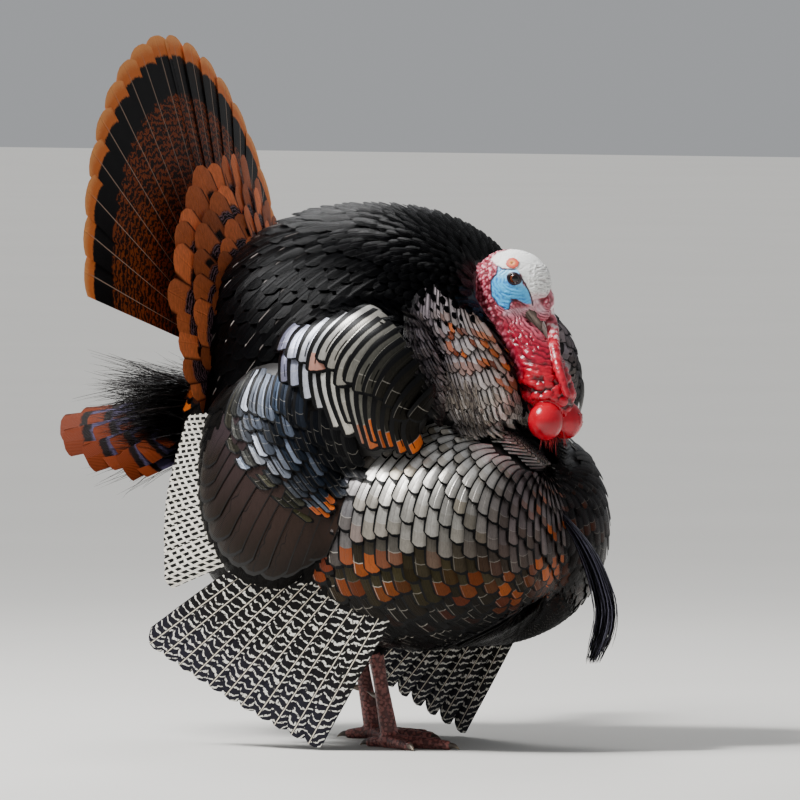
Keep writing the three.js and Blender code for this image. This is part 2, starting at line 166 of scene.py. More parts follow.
# -------------------------------------------------------------- the bird's own measures, as in the solids
SIDES = (-1, 1)
HEAD_AT = vec(216, 2, 556)
HEAD_TURN = 16
HEAD_HALF = vec(46, 28, 38.5)
HEAD_TAPER = 0.3
EYE_AT = vec(9.4, 21.6, 4.6)
EYE_RADIUS = 8.2
BILL_PITCH = 50
BILL_LENGTH = 50
BILL_HALF_WIDTH = 10
NECK_ROUTE = [(194, 0, 552), (197, 0, 530), (207, 0, 508), (225, 0, 486), (251, 0, 457), (271, 0, 420)]
NECK_RADII = [24, 29, 25, 26.5, 30, 26]
WATTLE_AT, WATTLE_HALF = (277, 21.6, 392), (20.8, 21.4, 22.8)
SNOOD_ROUTE = [
    (250, 12, 549), (255, 18, 538), (249, 27, 521), (256, 26, 505), (265, 15, 490),
    (278, -2, 474), (289, -12, 456), (298, -16, 438), (303, -14, 423),
]
SNOOD_RADII = [7, 7.6, 7.2, 7, 6.6, 6, 5.6, 5.2, 4.2]
BEARD_ROUTE = [(282, 0, 284), (312, 0, 252), (333, 0, 216), (347, 0, 174), (345, 0, 146), (330, 0, 106)]
BEARD_WIDTHS = [7, 10, 13, 14, 11, 3]

TAIL_ROOT = vec(-165, 0, 450)
TAIL_LEAN = 15
TAIL_TURN = 12
TAIL_FEATHERS = 18
TAIL_SPREAD = 71
TAIL_LENGTHS = (412, 342)
TAIL_SWEEP = 0.21

VENT_ROOT = vec(-178, 0, 402)
VENT_LENGTHS = (232, 180)
VENT_SPREAD = 86

WRIST = vec(172, 150, 214)
ELBOW = vec(-12, 184, 396)
PRIMARY_ROOTS = [WRIST, vec(88, 163, 230), vec(3, 175, 247)]
PRIMARY_LENGTHS, PRIMARY_SLANTS = (247, 226), (-31, -58)
SECONDARY_ROOTS = [vec(2, 186, 254), vec(-12, 190, 320), ELBOW]
SECONDARY_LENGTHS, SECONDARY_SLANTS = (180, 126), (-70, -86)

LEG_Y = 64
FOOT_X = {-1: 84, 1: -24}
HOCK_BACK, HOCK_HEIGHT = 28, 150
SHANK_RADIUS, TOE_RADIUS, TOE_HEIGHT = 8.5, 7, 5
TOES = {"inner": (58, 38), "middle": (82, 0), "outer": (62, -36), "hind": (30, 172)}
CLAW_LENGTH = 17
SPUR_LENGTH = 26
SIDE_NAMES = {-1: "right", 1: "left"}

HEAD_MATRIX = turned("Z", HEAD_TURN)
eye_low, eye_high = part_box("eye_right")
EYE_RIGHT = HEAD_AT + HEAD_MATRIX @ (EYE_AT * (1, -1, 1))
SHIFT = np.array((eye_low + eye_high) / 2) / MM - EYE_RIGHT


def on_head(p):
    """From the head's frame to the bird's."""
    return HEAD_AT + p @ HEAD_MATRIX.T


def in_head(p):
    """From the bird's frame to the head's."""
    return (p - HEAD_AT) @ HEAD_MATRIX


# ------------------------------------------------------------------ the camera's view of the bird
PHOTO_AZIMUTH, PHOTO_ELEVATION = 33, 2.2
PHOTO_MM = 1.2
PHOTO_ORIGIN = (360, 742)
PHOTO_SIZE = 800
CAMERA_FAR = 16
CLIP_END = 100
SENSOR_WIDTH = 36
SIGHT_START = 420
SIGHT_STEPS = 44
LOOK_BACK = way_back(PHOTO_AZIMUTH, PHOTO_ELEVATION)
LOOK_RIGHT = vec(math.cos(math.radians(PHOTO_AZIMUTH)), math.sin(math.radians(PHOTO_AZIMUTH)), 0)
LOOK_UP = np.cross(LOOK_BACK, LOOK_RIGHT)


def in_picture(p):
    """Where points are in the camera's picture, in pixels, with the left side mirrored to the right."""
    near = p.copy()
    near[:, 1] = -np.abs(near[:, 1])
    across, above = near @ LOOK_RIGHT / PHOTO_MM, near @ LOOK_UP / PHOTO_MM
    return np.stack([PHOTO_ORIGIN[0] + across, PHOTO_ORIGIN[1] - above], axis=1)


def from_camera(field, flat, side):
    """Where lines of sight through places in the picture meet a form, mirrored for the left side."""
    across = (flat[:, :1] - PHOTO_ORIGIN[0]) * PHOTO_MM * LOOK_RIGHT
    p = across + (PHOTO_ORIGIN[1] - flat[:, 1:]) * PHOTO_MM * LOOK_UP + LOOK_BACK * SIGHT_START
    for _ in range(SIGHT_STEPS):
        p = p - LOOK_BACK * np.clip(field(p), -15, 40)[:, None] * 0.85
    return p * (1, -side, 1)


# ------------------------------------------------------------------ forms as distances
class Ball:
    """A ball with three half sizes, flattened where it is squarer than 2 and tipped about Y."""

    def __init__(self, at, half, square=2.0, pitch=0.0):
        self.at, self.half, self.square = vec(*at), vec(*half), square
        self.turn = turned("Y", pitch)

    def __call__(self, p):
        """The distance to the skin, which is true near it and rough elsewhere."""
        q = np.abs((p - self.at) @ self.turn) / self.half
        q = np.maximum(q, 1e-6)
        s = self.square
        powers = q ** (s - 1)
        r = (powers * q).sum(-1) ** (1 / s)
        slope = np.linalg.norm(powers / self.half, axis=-1) * r ** (1 - s)
        return (r - 1) / slope


TUBE_MARGIN = 30.0


class Tube:
    """A round tube along a smooth route."""

    def __init__(self, route, radii, steps=24):
        self.line = smooth_route(route, steps)
        share = np.linspace(0, len(radii) - 1, steps + 1)
        low = np.minimum(share.astype(int), len(radii) - 2)
        part = share - low
        part = part * part * (3 - 2 * part)
        radii = np.array(radii, float)
        self.radii = radii[low] * (1 - part) + radii[low + 1] * part

    def nearest(self, p):
        """The distance to the tube's skin and how far along it the nearest point is, from 0 to 1."""
        best = np.full(len(p), 1e3)
        along = np.zeros(len(p))
        steps = len(self.line) - 1
        for i in range(steps):
            a, b = self.line[i], self.line[i + 1]
            t = np.clip(((p - a) @ (b - a)) / ((b - a) @ (b - a)), 0, 1)
            far = np.linalg.norm(p - a - t[:, None] * (b - a), axis=1)
            far -= lerp(self.radii[i], self.radii[i + 1], t)
            closer = far < best
            best = np.where(closer, far, best)
            along = np.where(closer, (i + t) / steps, along)
        return best, along

    def __call__(self, p):
        """The distance, which is only a large number for points well away from the tube."""
        reach = self.radii.max() + TUBE_MARGIN
        near = ((p > self.line.min(0) - reach) & (p < self.line.max(0) + reach)).all(axis=1)
        far = np.full(len(p), 2 * TUBE_MARGIN)
        if near.any():
            far[near] = self.nearest(p[near])[0]
        return far


def smooth_route(route, steps):
    """Points at even steps of length along a curve through the given ones."""
    points = np.array(route, float)
    padded = np.vstack([2 * points[0] - points[1], points, 2 * points[-1] - points[-2]])
    knots = np.append(0, np.cumsum(np.linalg.norm(np.diff(points, axis=0), axis=1) ** 0.5))
    gaps = np.diff(knots)
    knots = np.concatenate([[knots[0] - gaps[0]], knots, [knots[-1] + gaps[-1]]])
    fine = []
    for i in range(1, len(padded) - 2):
        t = np.linspace(knots[i], knots[i + 1], 24, endpoint=False)[:, None]
        k = knots[i - 1 : i + 3]
        p = padded[i - 1 : i + 3]
        a = [((k[j + 1] - t) * p[j] + (t - k[j]) * p[j + 1]) / (k[j + 1] - k[j]) for j in range(3)]
        b = [((k[j + 2] - t) * a[j] + (t - k[j]) * a[j + 1]) / (k[j + 2] - k[j]) for j in range(2)]
        fine.append(((k[2] - t) * b[0] + (t - k[1]) * b[1]) / (k[2] - k[1]))
    fine = np.vstack(fine + [padded[-2:-1]])
    run = run_of(fine)
    return between(np.linspace(0, run[-1], steps + 1), run, fine)


def union(distances, soft):
    """The smooth union of several distances."""
    total = distances[0]
    for other in distances[1:]:
        h = np.clip(1 - np.abs(total - other) / soft, 0, 1)
        total = np.minimum(total, other) - h * h * soft / 4
    return total


def pair(at, half, square, pitch=0.0):
    return [Ball((at[0], at[1] * side, at[2]), half, square, pitch) for side in SIDES]


BACK = Ball((16, 0, 432), (214, 168, 215), 2.35)
BELLY = Ball((-62, 0, 335), (168, 158, 196), 2.2)
BREAST = pair((121, 50, 263), (176, 142, 147), 2.2)
RUFF = pair((158, 40, 463), (74, 68, 104), 2.2, -34)
SCAPULARS = pair((98, 150, 430), (112, 54, 100), 2.3, -8)
COVERTS = pair((-12, 160, 328), (108, 58, 142), 2.2, 4)
NECK = Tube(NECK_ROUTE, NECK_RADII)
SNOOD = Tube(SNOOD_ROUTE, SNOOD_RADII)
WATTLES = pair(WATTLE_AT, WATTLE_HALF, 2.0)


def foot_and_hock(side):
    foot = vec(FOOT_X[side], side * LEG_Y, 0)
    return foot, foot + (-HOCK_BACK, 0, HOCK_HEIGHT)


def thigh_tube(side):
    foot, hock = foot_and_hock(side)
    hip = vec(hock[0] + 34, side * (LEG_Y + 22), 236)
    return Tube([hip, lerp(hip, hock, 0.5), hock, lerp(hock, foot, 0.2)], [52, 40, 24, 16], steps=10)


def shank_tube(side):
    foot, hock = foot_and_hock(side)
    foot = foot + (0, 0, 15)
    radii = [SHANK_RADIUS + 2, SHANK_RADIUS, SHANK_RADIUS + 3]
    return Tube([foot, lerp(foot, hock, 0.5), hock], radii, steps=8)


def toe_tip(side, toe, past=0.0):
    length, turn = TOES[toe]
    angle = math.radians(turn * -side)
    reach = length + past
    return vec(FOOT_X[side] + math.cos(angle) * reach, side * LEG_Y + math.sin(angle) * reach, TOE_HEIGHT)


def toe_tube(side, toe):
    heel = vec(FOOT_X[side], side * LEG_Y, 7.5)
    tip = toe_tip(side, toe)
    knuckle = lerp(heel, tip, 0.5) + (0, 0, 0.5)
    return Tube([heel, knuckle, tip], [9, TOE_RADIUS, TOE_RADIUS - 1], steps=6)


THIGHS = [thigh_tube(side) for side in SIDES]
SHANKS = [shank_tube(side) for side in SIDES]
TOE_TUBES = [toe_tube(side, toe) for side in SIDES for toe in TOES]


def trunk(p):
    return union([BACK(p), BELLY(p), *(b(p) for b in BREAST)], 16)


def breast_form(p):
    return union([BELLY(p), *(b(p) for b in BREAST)], 16)


def mantle(p):
    """The trunk with the ruff of the neck and the shoulders, which carry the back's feathers."""
    return union([trunk(p), *(r(p) for r in RUFF), *(s(p) for s in SCAPULARS)], 16)


def plumage(p):
    """All that feathers cover."""
    return union([mantle(p), *(c(p) for c in COVERTS)], 10)


def gradient(field, p, step=0.6):
    """Which way a distance grows fastest, as unit vectors."""
    corners = np.array([[1, -1, -1], [-1, -1, 1], [-1, 1, -1], [1, 1, 1]], float)
    return unit(sum(field(p + c * step)[:, None] * c for c in corners))


def onto(field, p, level=0.0, times=3):
    """Moves points to where a distance has a given value."""
    for _ in range(times):
        p = p - (field(p) - level)[:, None] * gradient(field, p)
    return p


# ------------------------------------------------------------------ meshes
def make_object(name, corners, faces, material):
    """A piece from points in the bird's frame and faces with three or four corners each."""
    mesh = bpy.data.meshes.new(name)
    placed = (np.asarray(corners, float) + SHIFT) * MM
    faces = np.asarray(faces)
    mesh.vertices.add(len(placed))
    mesh.vertices.foreach_set("co", placed.astype(np.float32).ravel())
    mesh.loops.add(faces.size)
    mesh.loops.foreach_set("vertex_index", faces.astype(np.int32).ravel())
    mesh.polygons.add(len(faces))
    mesh.polygons.foreach_set("loop_start", np.arange(0, faces.size, faces.shape[1], dtype=np.int32))
    mesh.polygons.foreach_set("loop_total", np.full(len(faces), faces.shape[1], np.int32))
    mesh.polygons.foreach_set("use_smooth", np.ones(len(faces), bool))
    mesh.update(calc_edges=True)
    mesh.materials.append(material)
    made = bpy.data.objects.new(name, mesh)
    bpy.context.scene.collection.objects.link(made)
    return made


def finish_piece(piece, slot, *nodes):
    """Says what a piece rides on and which solids it stands for; the slot is not used."""
    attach(piece, BODY)
    if nodes:
        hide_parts(*nodes)
    return piece


def set_colours(mesh, name, rows):
    """Colours that belong to the mesh's points, as red, green, blue and a fourth value."""
    attribute = mesh.attributes.new(name, "FLOAT_COLOR", "POINT")
    attribute.data.foreach_set("color", np.ascontiguousarray(rows, np.float32).ravel())


def set_uv(mesh, name, rows, faces):
    layer = mesh.uv_layers.new(name=name)
    layer.data.foreach_set("uv", np.ascontiguousarray(rows[faces.ravel()], np.float32).ravel())


def even(low, high, cell):
    """Three lines of even steps over a box."""
    return [np.arange(low[a], high[a] + cell, cell) for a in range(3)]


def finer_within(low, high, cell, fine_low, fine_high, fine):
    """A line of steps that are finer over one stretch."""
    before = np.linspace(low, fine_low, max(int(round((fine_low - low) / cell)), 1) + 1)[:-1]
    middle = np.linspace(fine_low, fine_high, int(round((fine_high - fine_low) / fine)) + 1)
    after = np.linspace(fine_high, high, max(int(round((high - fine_high) / cell)), 1) + 1)[1:]
    return np.concatenate([before, middle, after])


def net_over(field, axes):
    """A closed mesh of four-cornered faces where a distance is 0, found on a grid."""
    shape = [len(axis) for axis in axes]
    value = np.empty(shape)
    for i, x in enumerate(axes[0]):
        y, z = np.meshgrid(axes[1], axes[2], indexing="ij")
        points = np.stack([np.full(y.size, x), y.ravel(), z.ravel()], axis=1)
        value[i] = field(points).reshape(y.shape)
    inside = value < 0
    corners = np.zeros([*shape, 3])
    weight = np.zeros(shape)
    quads = []
    for axis in range(3):
        others = [a for a in range(3) if a != axis]
        first = [slice(None)] * 3
        first[axis] = slice(0, -1)
        second = [slice(None)] * 3
        second[axis] = slice(1, None)
        crossing = np.argwhere(inside[tuple(first)] != inside[tuple(second)])
        step = np.eye(3, dtype=int)[axis]
        a = value[tuple(crossing.T)]
        b = value[tuple((crossing + step).T)]
        spot = crossing + np.outer(a / (a - b), step)
        ring = []
        for down, back in ((0, 0), (1, 0), (1, 1), (0, 1)):
            shift = np.zeros(3, int)
            shift[others[0]], shift[others[1]] = -down, -back
            cells = crossing + shift
            np.add.at(corners, tuple(cells.T), spot)
            np.add.at(weight, tuple(cells.T), 1)
            ring.append(np.ravel_multi_index(tuple(cells.T), shape))
        ring = np.stack(ring, axis=1)
        inward = (a < 0) == (axis != 1)
        ring[~inward] = ring[~inward][:, ::-1]
        quads.append(ring)
    quads = np.vstack(quads)
    used, renumbered = np.unique(quads, return_inverse=True)
    steps = corners.reshape(-1, 3)[used] / weight.ravel()[used][:, None]
    placed = [np.interp(steps[:, a], np.arange(shape[a]), axes[a]) for a in range(3)]
    return np.stack(placed, axis=1), renumbered.reshape(quads.shape)


# ------------------------------------------------------------------ materials as arithmetic
class Wire:
    """A socket of a node tree that can be added, multiplied and compared."""

    def __init__(self, paint, socket):
        self.paint, self.socket = paint, socket

    def __add__(self, other):
        return self.paint.math("ADD", self, other)

    def __sub__(self, other):
        return self.paint.math("SUBTRACT", self, other)

    def __rsub__(self, other):
        return self.paint.math("SUBTRACT", other, self)

    def __mul__(self, other):
        return self.paint.math("MULTIPLY", self, other)

    __radd__ = __add__
    __rmul__ = __mul__

    def above(self, low, high):
        """0 below low and 1 above high; low may be the larger one."""
        node = self.paint.node("ShaderNodeMapRange", interpolation_type="SMOOTHSTEP")
        flipped = low > high
        self.paint.feed(node.inputs["Value"], self)
        node.inputs["From Min"].default_value = min(low, high)
        node.inputs["From Max"].default_value = max(low, high)
        node.inputs["To Min"].default_value = float(flipped)
        node.inputs["To Max"].default_value = float(not flipped)
        return Wire(self.paint, node.outputs["Result"])

    def size(self):
        """The value without its sign."""
        return self.paint.math("ABSOLUTE", self)

    def sine(self):
        return self.paint.math("SINE", self)

    def at_most(self, other):
        return self.paint.math("MINIMUM", self, other)

    def at_least(self, other):
        return self.paint.math("MAXIMUM", self, other)

    def part_of_step(self):
        return self.paint.math("FRACT", self)


class Paint:
    """A procedural material."""

    def __init__(self, name, roughness, metallic=0.0, specular=0.5):
        self.material = bpy.data.materials.new(name)
        self.material.use_nodes = True
        self.tree = self.material.node_tree
        self.shader = self.tree.nodes["Principled BSDF"]
        self.shader.inputs["Roughness"].default_value = roughness
        self.shader.inputs["Metallic"].default_value = metallic
        self.shader.inputs["Specular IOR Level"].default_value = specular

    def node(self, kind, **settings):
        node = self.tree.nodes.new(kind)
        for name, value in settings.items():
            setattr(node, name, value)
        return node

    def feed(self, socket, value):
        if isinstance(value, Wire):
            self.tree.links.new(value.socket, socket)
        else:
            socket.default_value = value

    def math(self, operation, *values):
        node = self.node("ShaderNodeMath", operation=operation)
        for socket, value in zip(node.inputs, values):
            self.feed(socket, value)
        return Wire(self, node.outputs[0])

    def mix(self, share, first, second, blend="MIX"):
        """Two colours blended, as wires or as hex text."""
        node = self.node("ShaderNodeMix", data_type="RGBA", blend_type=blend)
        self.feed(node.inputs[0], share)
        for socket, value in ((node.inputs[6], first), (node.inputs[7], second)):
            if isinstance(value, str):
                value = (*flat_colour(value), 1.0)
            self.feed(socket, value)
        return Wire(self, node.outputs[2])

    def colours(self, name):
        """An attribute's colour, and its three parts and fourth value."""
        node = self.node("ShaderNodeAttribute", attribute_name=name)
        parts = self.node("ShaderNodeSeparateColor")
        self.tree.links.new(node.outputs["Color"], parts.inputs[0])
        sockets = [node.outputs["Color"], *parts.outputs[:3], node.outputs["Alpha"]]
        return [Wire(self, socket) for socket in sockets]

    def on_vane(self):
        """Across a feather from -1 at its rear edge to 1, and along it from 0 at its root to 1."""
        node = self.node("ShaderNodeUVMap", uv_map="Feather")
        parts = self.node("ShaderNodeSeparateXYZ")
        self.tree.links.new(node.outputs[0], parts.inputs[0])
        return Wire(self, parts.outputs[0]) * 2 - 1, Wire(self, parts.outputs[1])

    def place(self):
        return Wire(self, self.node("ShaderNodeTexCoord").outputs["Object"])

    def noise(self, size, detail=2.0, where=None, stretch=None):
        """Noise from 0 to 1 with lumps of about size metres."""
        node = self.node("ShaderNodeTexNoise")
        node.inputs["Scale"].default_value = 1 / size
        node.inputs["Detail"].default_value = detail
        where = where or self.place()
        if stretch:
            mapping = self.node("ShaderNodeMapping")
            self.feed(mapping.inputs["Vector"], where)
            mapping.inputs["Scale"].default_value = stretch
            where = Wire(self, mapping.outputs[0])
        self.feed(node.inputs["Vector"], where)
        return Wire(self, node.outputs[0])

    def pebbles(self, size):
        """Distance to the nearest of scattered points, in shares of size metres."""
        node = self.node("ShaderNodeTexVoronoi")
        node.inputs["Scale"].default_value = 1 / size
        self.feed(node.inputs["Vector"], self.place())
        return Wire(self, node.outputs["Distance"])

    def dimmed(self, colour, amount, share=1.0):
        """A colour times an amount, by a share."""
        node = self.node("ShaderNodeCombineXYZ")
        for socket in node.inputs:
            self.feed(socket, amount)
        return self.mix(share, colour, Wire(self, node.outputs[0]), "MULTIPLY")

    def bump(self, height, depth, strength=1.0):
        node = self.node("ShaderNodeBump")
        node.inputs["Strength"].default_value = strength
        node.inputs["Distance"].default_value = depth
        self.feed(node.inputs["Height"], height)
        self.tree.links.new(node.outputs[0], self.shader.inputs["Normal"])

    def finish(self, colour=None, **inputs):
        if colour is not None:
            self.feed(self.shader.inputs["Base Color"], colour)
        for name, value in inputs.items():
            self.feed(self.shader.inputs[name.replace("_", " ")], value)
        return self.material


def barbs_on(u, v, along, aside):
    """Fine stripes from 0 to 1, which run out and forward from a feather's shaft."""
    return (v * along + u.size() * aside).sine() * 0.5 + 0.5


# ------------------------------------------------------------------ feathers
MIDDLE = vec(16, 0, 350)
BAKE_CELL = 0.003


def globe(p):
    """Where a point lies on an unwrap of the body, as longitude and latitude from 0 to 1."""
    d = unit(p - MIDDLE)
    longitude = np.arctan2(d[:, 1], d[:, 0]) / (2 * np.pi) + 0.5
    latitude = np.arcsin(np.clip(d[:, 2], -1, 1)) / np.pi + 0.5
    return 0.01 + 0.98 * np.stack([longitude, latitude], axis=1)


def sheet_of_cells(count):
    """The middles and the size of cells that share the unwrap among a few large feathers."""
    wide = int(math.ceil(math.sqrt(count)))
    spots = np.stack([np.arange(count) % wide, np.arange(count) // wide], axis=1)
    return (spots + 0.5) / wide, 0.96 / wide


class Coat:
    """Feathers of one tract in one piece. Each is a closed vane that is thin at its edges."""

    def __init__(self, name, material, slot, rows=7, columns=6, thick=0.6, large=False):
        self.name, self.material, self.slot = name, material, slot
        self.rows, self.columns, self.thick, self.large = rows, columns, thick, large
        self.across = np.sin(np.linspace(-1, 1, columns + 1) * np.pi / 2)
        self.along = np.linspace(0, 1, rows + 1) ** 0.85
        self.batches = []

    def topology(self):
        """The faces of one vane, the grid place of each of its points and which are on its edge."""
        rows, columns = self.rows, self.columns
        top = np.arange((rows + 1) * (columns + 1)).reshape(rows + 1, columns + 1)
        under = top.copy()
        inner = (rows - 1) * (columns - 1)
        under[1:-1, 1:-1] = top.size + np.arange(inner).reshape(rows - 1, columns - 1)
        upper = [top[:-1, :-1], top[:-1, 1:], top[1:, 1:], top[1:, :-1]]
        lower = [under[:-1, :-1], under[1:, :-1], under[1:, 1:], under[:-1, 1:]]
        faces = [np.stack(corners, axis=-1).reshape(-1, 4) for corners in (upper, lower)]
        source = np.concatenate([top.ravel(), top[1:-1, 1:-1].ravel()])
        edge = np.ones(top.shape, bool)
        edge[1:-1, 1:-1] = False
        rim = np.concatenate([edge.ravel(), np.zeros(inner, bool)])
        return np.vstack(faces), source, rim

    def place(
        self, spine, normals, width, hand, tint, mark, *,
        tip=0.8, power=2.5, skew=0.0, taper=0.0, arch=0.1, roll=0.05, waist=0.5, profile=None,
        field=None, level=None, ripple=0.0,
    ):
        """Feathers along spines of points, with the way each faces. Widths are half widths."""
        count, samples = spine.shape[0], spine.shape[1] - 1
        length = np.linalg.norm(np.diff(spine, axis=1), axis=2).sum(1)
        ahead = unit(np.gradient(spine, axis=1))
        side = unit(np.cross(normals, ahead))
        u = self.across[None, None, :]
        v = self.along[None, :, None]
        drop = np.clip(tip * width / length, 0, 0.7)[:, None, None]
        turned_u = u * hand[:, None, None]
        off_point = np.abs(turned_u - skew) / (1 + abs(skew))
        reach = v * (1 - drop * off_point**power)
        reach = np.broadcast_to(reach, (count, self.rows + 1, self.columns + 1))
        spot = np.clip(reach, 0, 1) * samples
        low = np.minimum(spot.astype(int), samples - 1)
        part = (spot - low)[..., None]
        who = np.arange(count)[:, None, None]
        centre = lerp(spine[who, low], spine[who, low + 1], part)
        out = unit(lerp(normals[who, low], normals[who, low + 1], part))
        beside = unit(lerp(side[who, low], side[who, low + 1], part))
        swell = profile(v) if profile else (waist + (1 - waist) * ramp(v, 0, 0.4)) * (1 - taper * v**2)
        half = width[:, None, None] * swell
        grid = centre + beside * (u * half)[..., None]
        lift = -arch * half * u**2 - roll * half * turned_u
        if ripple:
            wave = np.sin(turned_u * 9 + v * 14 + np.arange(count)[:, None, None] * 1.7)
            lift = lift + ripple * wave * np.abs(u) * v
        if field is None:
            grid = grid + out * lift[..., None]
        else:
            wanted = np.interp(reach, np.linspace(0, 1, len(level)), level) + lift
            flat, way = grid.reshape(-1, 3), out.reshape(-1, 3)
            for _ in range(2):
                flat = flat - (field(flat) - wanted.ravel())[:, None] * way
            grid = flat.reshape(grid.shape)
        _, source, _ = self.topology()
        points = grid.reshape(count, -1, 3)[:, source]
        inner = np.arange(len(source)) >= (self.rows + 1) * (self.columns + 1)
        points[:, inner] -= self.thick * out.reshape(count, -1, 3)[:, source[inner]]
        uv = np.stack(np.broadcast_arrays((turned_u + 1) / 2, v + 0 * turned_u), axis=-1)
        uv = uv.reshape(count, -1, 2)[:, source]
        self.batches.append((points, uv, tint, mark, spine[:, 0]))

    def lay(
        self, field, roots, ahead, length, width, tint, mark, *,
        flow=None, sink=7.0, rise=1.5, samples=8, hand=None, **shape,
    ):
        """Feathers that march over a surface from their roots, sunk at the root and proud at the tip."""
        level = -sink + (sink + rise) * np.linspace(0, 1, samples + 1)
        p, spine, normals = roots, [], []
        for wanted in level:
            n = gradient(field, p)
            p = p - (field(p) - wanted)[:, None] * n
            if flow is not None:
                ahead = flow(p, n)
            ahead = unit(ahead - dot(ahead, n) * n)
            spine.append(p)
            normals.append(n)
            p = p + ahead * (length / samples)[:, None]
        if hand is None:
            hand = np.where(roots[:, 1] < 0, 1.0, -1.0)
        spine, normals = np.stack(spine, axis=1), np.stack(normals, axis=1)
        self.place(spine, normals, width, hand, tint, mark, field=field, level=level, **shape)

    def make(self, *nodes):
        """Turn everything placed so far into one object that stands for the nodes."""
        faces, source, rim = self.topology()
        count = sum(len(batch[0]) for batch in self.batches)
        points = np.concatenate([batch[0] for batch in self.batches])
        uv = np.concatenate([batch[1] for batch in self.batches])
        size = len(source)
        all_faces = (faces[None] + (np.arange(count) * size)[:, None, None]).reshape(-1, 4)
        piece = make_object(self.name, points.reshape(-1, 3), all_faces, self.material)
        mesh = piece.data
        set_uv(mesh, "Feather", uv.reshape(-1, 2), all_faces)
        if self.large:
            centres, cell = sheet_of_cells(count)
        else:
            centres, cell = globe(np.concatenate([batch[4] for batch in self.batches])), BAKE_CELL
        set_uv(mesh, "OFBake", (centres[:, None] + (uv - 0.5) * cell).reshape(-1, 2), all_faces)
        for name, place in (("tint", 2), ("mark", 3)):
            rows = np.concatenate([batch[place] for batch in self.batches])
            set_colours(mesh, name, np.repeat(rows[:, None], size, axis=1).reshape(-1, 4))
        ends = np.empty(len(mesh.edges) * 2, np.int32)
        mesh.edges.foreach_get("vertices", ends)
        on_rim = np.tile(rim, count)[ends].reshape(-1, 2).all(axis=1)
        sharp = mesh.attributes.new("sharp_edge", "BOOLEAN", "EDGE")
        sharp.data.foreach_set("value", on_rim)
        return finish_piece(piece, self.slot, *nodes)


def marks(count, edge, copper, pale, rng):
    """The marks of feathers: the strength of three markings, and a number that tells feathers apart."""
    ones = np.ones(count)
    return np.column_stack([ones * edge, ones * copper, ones * pale, rng.random(count)])


def scatter(candidates, spacing, seed):
    """The places of points that are picked in a random order and keep their spacing."""
    order = np.random.default_rng(seed).permutation(len(candidates))
    tree = KDTree(len(candidates))
    for i, p in enumerate(candidates):
        tree.insert(p, i)
    tree.balance()
    free = np.ones(len(candidates), bool)
    chosen = []
    for i in order:
        if free[i]:
            chosen.append(i)
            for _, j, _ in tree.find_range(candidates[i], spacing[i]):
                free[j] = False
    return np.array(chosen)


# ------------------------------------------------------------------ feather materials
def paint_body_vane(
    name, roughness=0.36, specular=0.12, shaft=0.0, panel_shade=0.6, rear_edge=0.63, highlight_strokes=False,
):
    """Body feathers: a metallic vane with a black rear edge and tip, and a panel before the tip.

    tint holds the colour and how metallic it is. mark holds the strength of the black edge, of the panel
    and of the pale line, which on stroked feathers is a painted highlight, and a number for each feather.
    """
    paint = Paint(name, roughness, specular=specular)
    u, v = paint.on_vane()
    tint, _, _, _, sheen = paint.colours("tint")
    _, edge, copper, pale, chance = paint.colours("mark")
    wobble = (paint.noise(0.004, 1.0) - 0.5) * 0.06
    rear = (u + wobble + (v - 0.5) * 0.3).above(0.05 - rear_edge, -0.05 - rear_edge)
    tip = (v + wobble * 0.4 - (1.0 - u) * 0.018).above(0.93, 0.945)
    dark = rear.at_least(tip) * edge
    barbs = ((v * 150 + u.size() * 40 + chance * 20).sine() * 0.5 + 0.5)
    streak = paint.noise(0.0016, 2.0, stretch=(1, 1, 0.35))
    patch = paint.noise(0.009, 2.0)
    shade = 0.42 + streak * 0.55 + barbs * 0.1 + patch * 0.35
    middle = 1.0 - (u - 0.05).size().above(0.3, 1.0) * 0.5
    body = paint.dimmed(tint, shade * middle)
    panel_start = 0.72 + (chance - 0.5) * 0.1
    beyond = (v - panel_start + (u * 0.02)).above(0.0, 0.012)
    shaded = paint.mix(1.0, body, "#a89468", "MULTIPLY")
    body = paint.mix(beyond * panel_shade * (chance * 5).part_of_step() * edge, body, shaded)
    panel = beyond * copper * (streak * 0.7 + 0.55).at_most(1.0)
    body = paint.mix(panel, body, paint.mix((chance * 7).part_of_step(), "#c25e18", "#561e0a"))
    line = (v - panel_start + (u * 0.02)).size().above(0.011, 0.004) * (patch + 0.2).at_most(1.0)
    line = line.at_least((u + 0.5 + (v - 0.5) * 0.3).size().above(0.07, 0.02) * v.above(0.62, 0.75) * 0.6)
    # Stroked feathers get pale strokes along the rear edge instead: a painted highlight on the feather edges.
    if highlight_strokes:
        line = (u + 0.8).size().above(0.1, 0.04) * v.above(0.4, 0.55) * v.above(0.95, 0.9)
    body = paint.mix(line * pale, body, "#8f8782" if highlight_strokes else "#cfc8bc")
    if shaft:
        stroke = (u + 0.1).size().above(0.09, 0.04) * (v - 0.72).size().above(0.16, 0.13)
        stroke = stroke * chance.above(0.35, 0.45)
        body = paint.mix(stroke * shaft, body, "#050506")
    body = paint.mix(dark * (1.0 - line * pale) if highlight_strokes else dark, body, "#040405")
    paint.bump(barbs * 0.5 + (u.size()).above(0.06, 0.0) * 1.5, 0.0004, 0.5)
    return paint.finish(body, Metallic=sheen * (1.0 - dark) * (1.0 - panel * 0.5))


# ------------------------------------------------------------------ breast
BREAST_TOP = vec(272, 0, 362)
BREAST_BOTTOM = vec(268, 0, 172)
BREAST_REACH = 150


# The axis between the breast's two poles, and the ways forward and to the left at right angles to it.
BREAST_AXIS = unit(BREAST_BOTTOM - BREAST_TOP)
BREAST_FRONT = unit(vec(1, 0, 0) - BREAST_AXIS[0] * BREAST_AXIS)
BREAST_LEFT = vec(0, 1, 0)


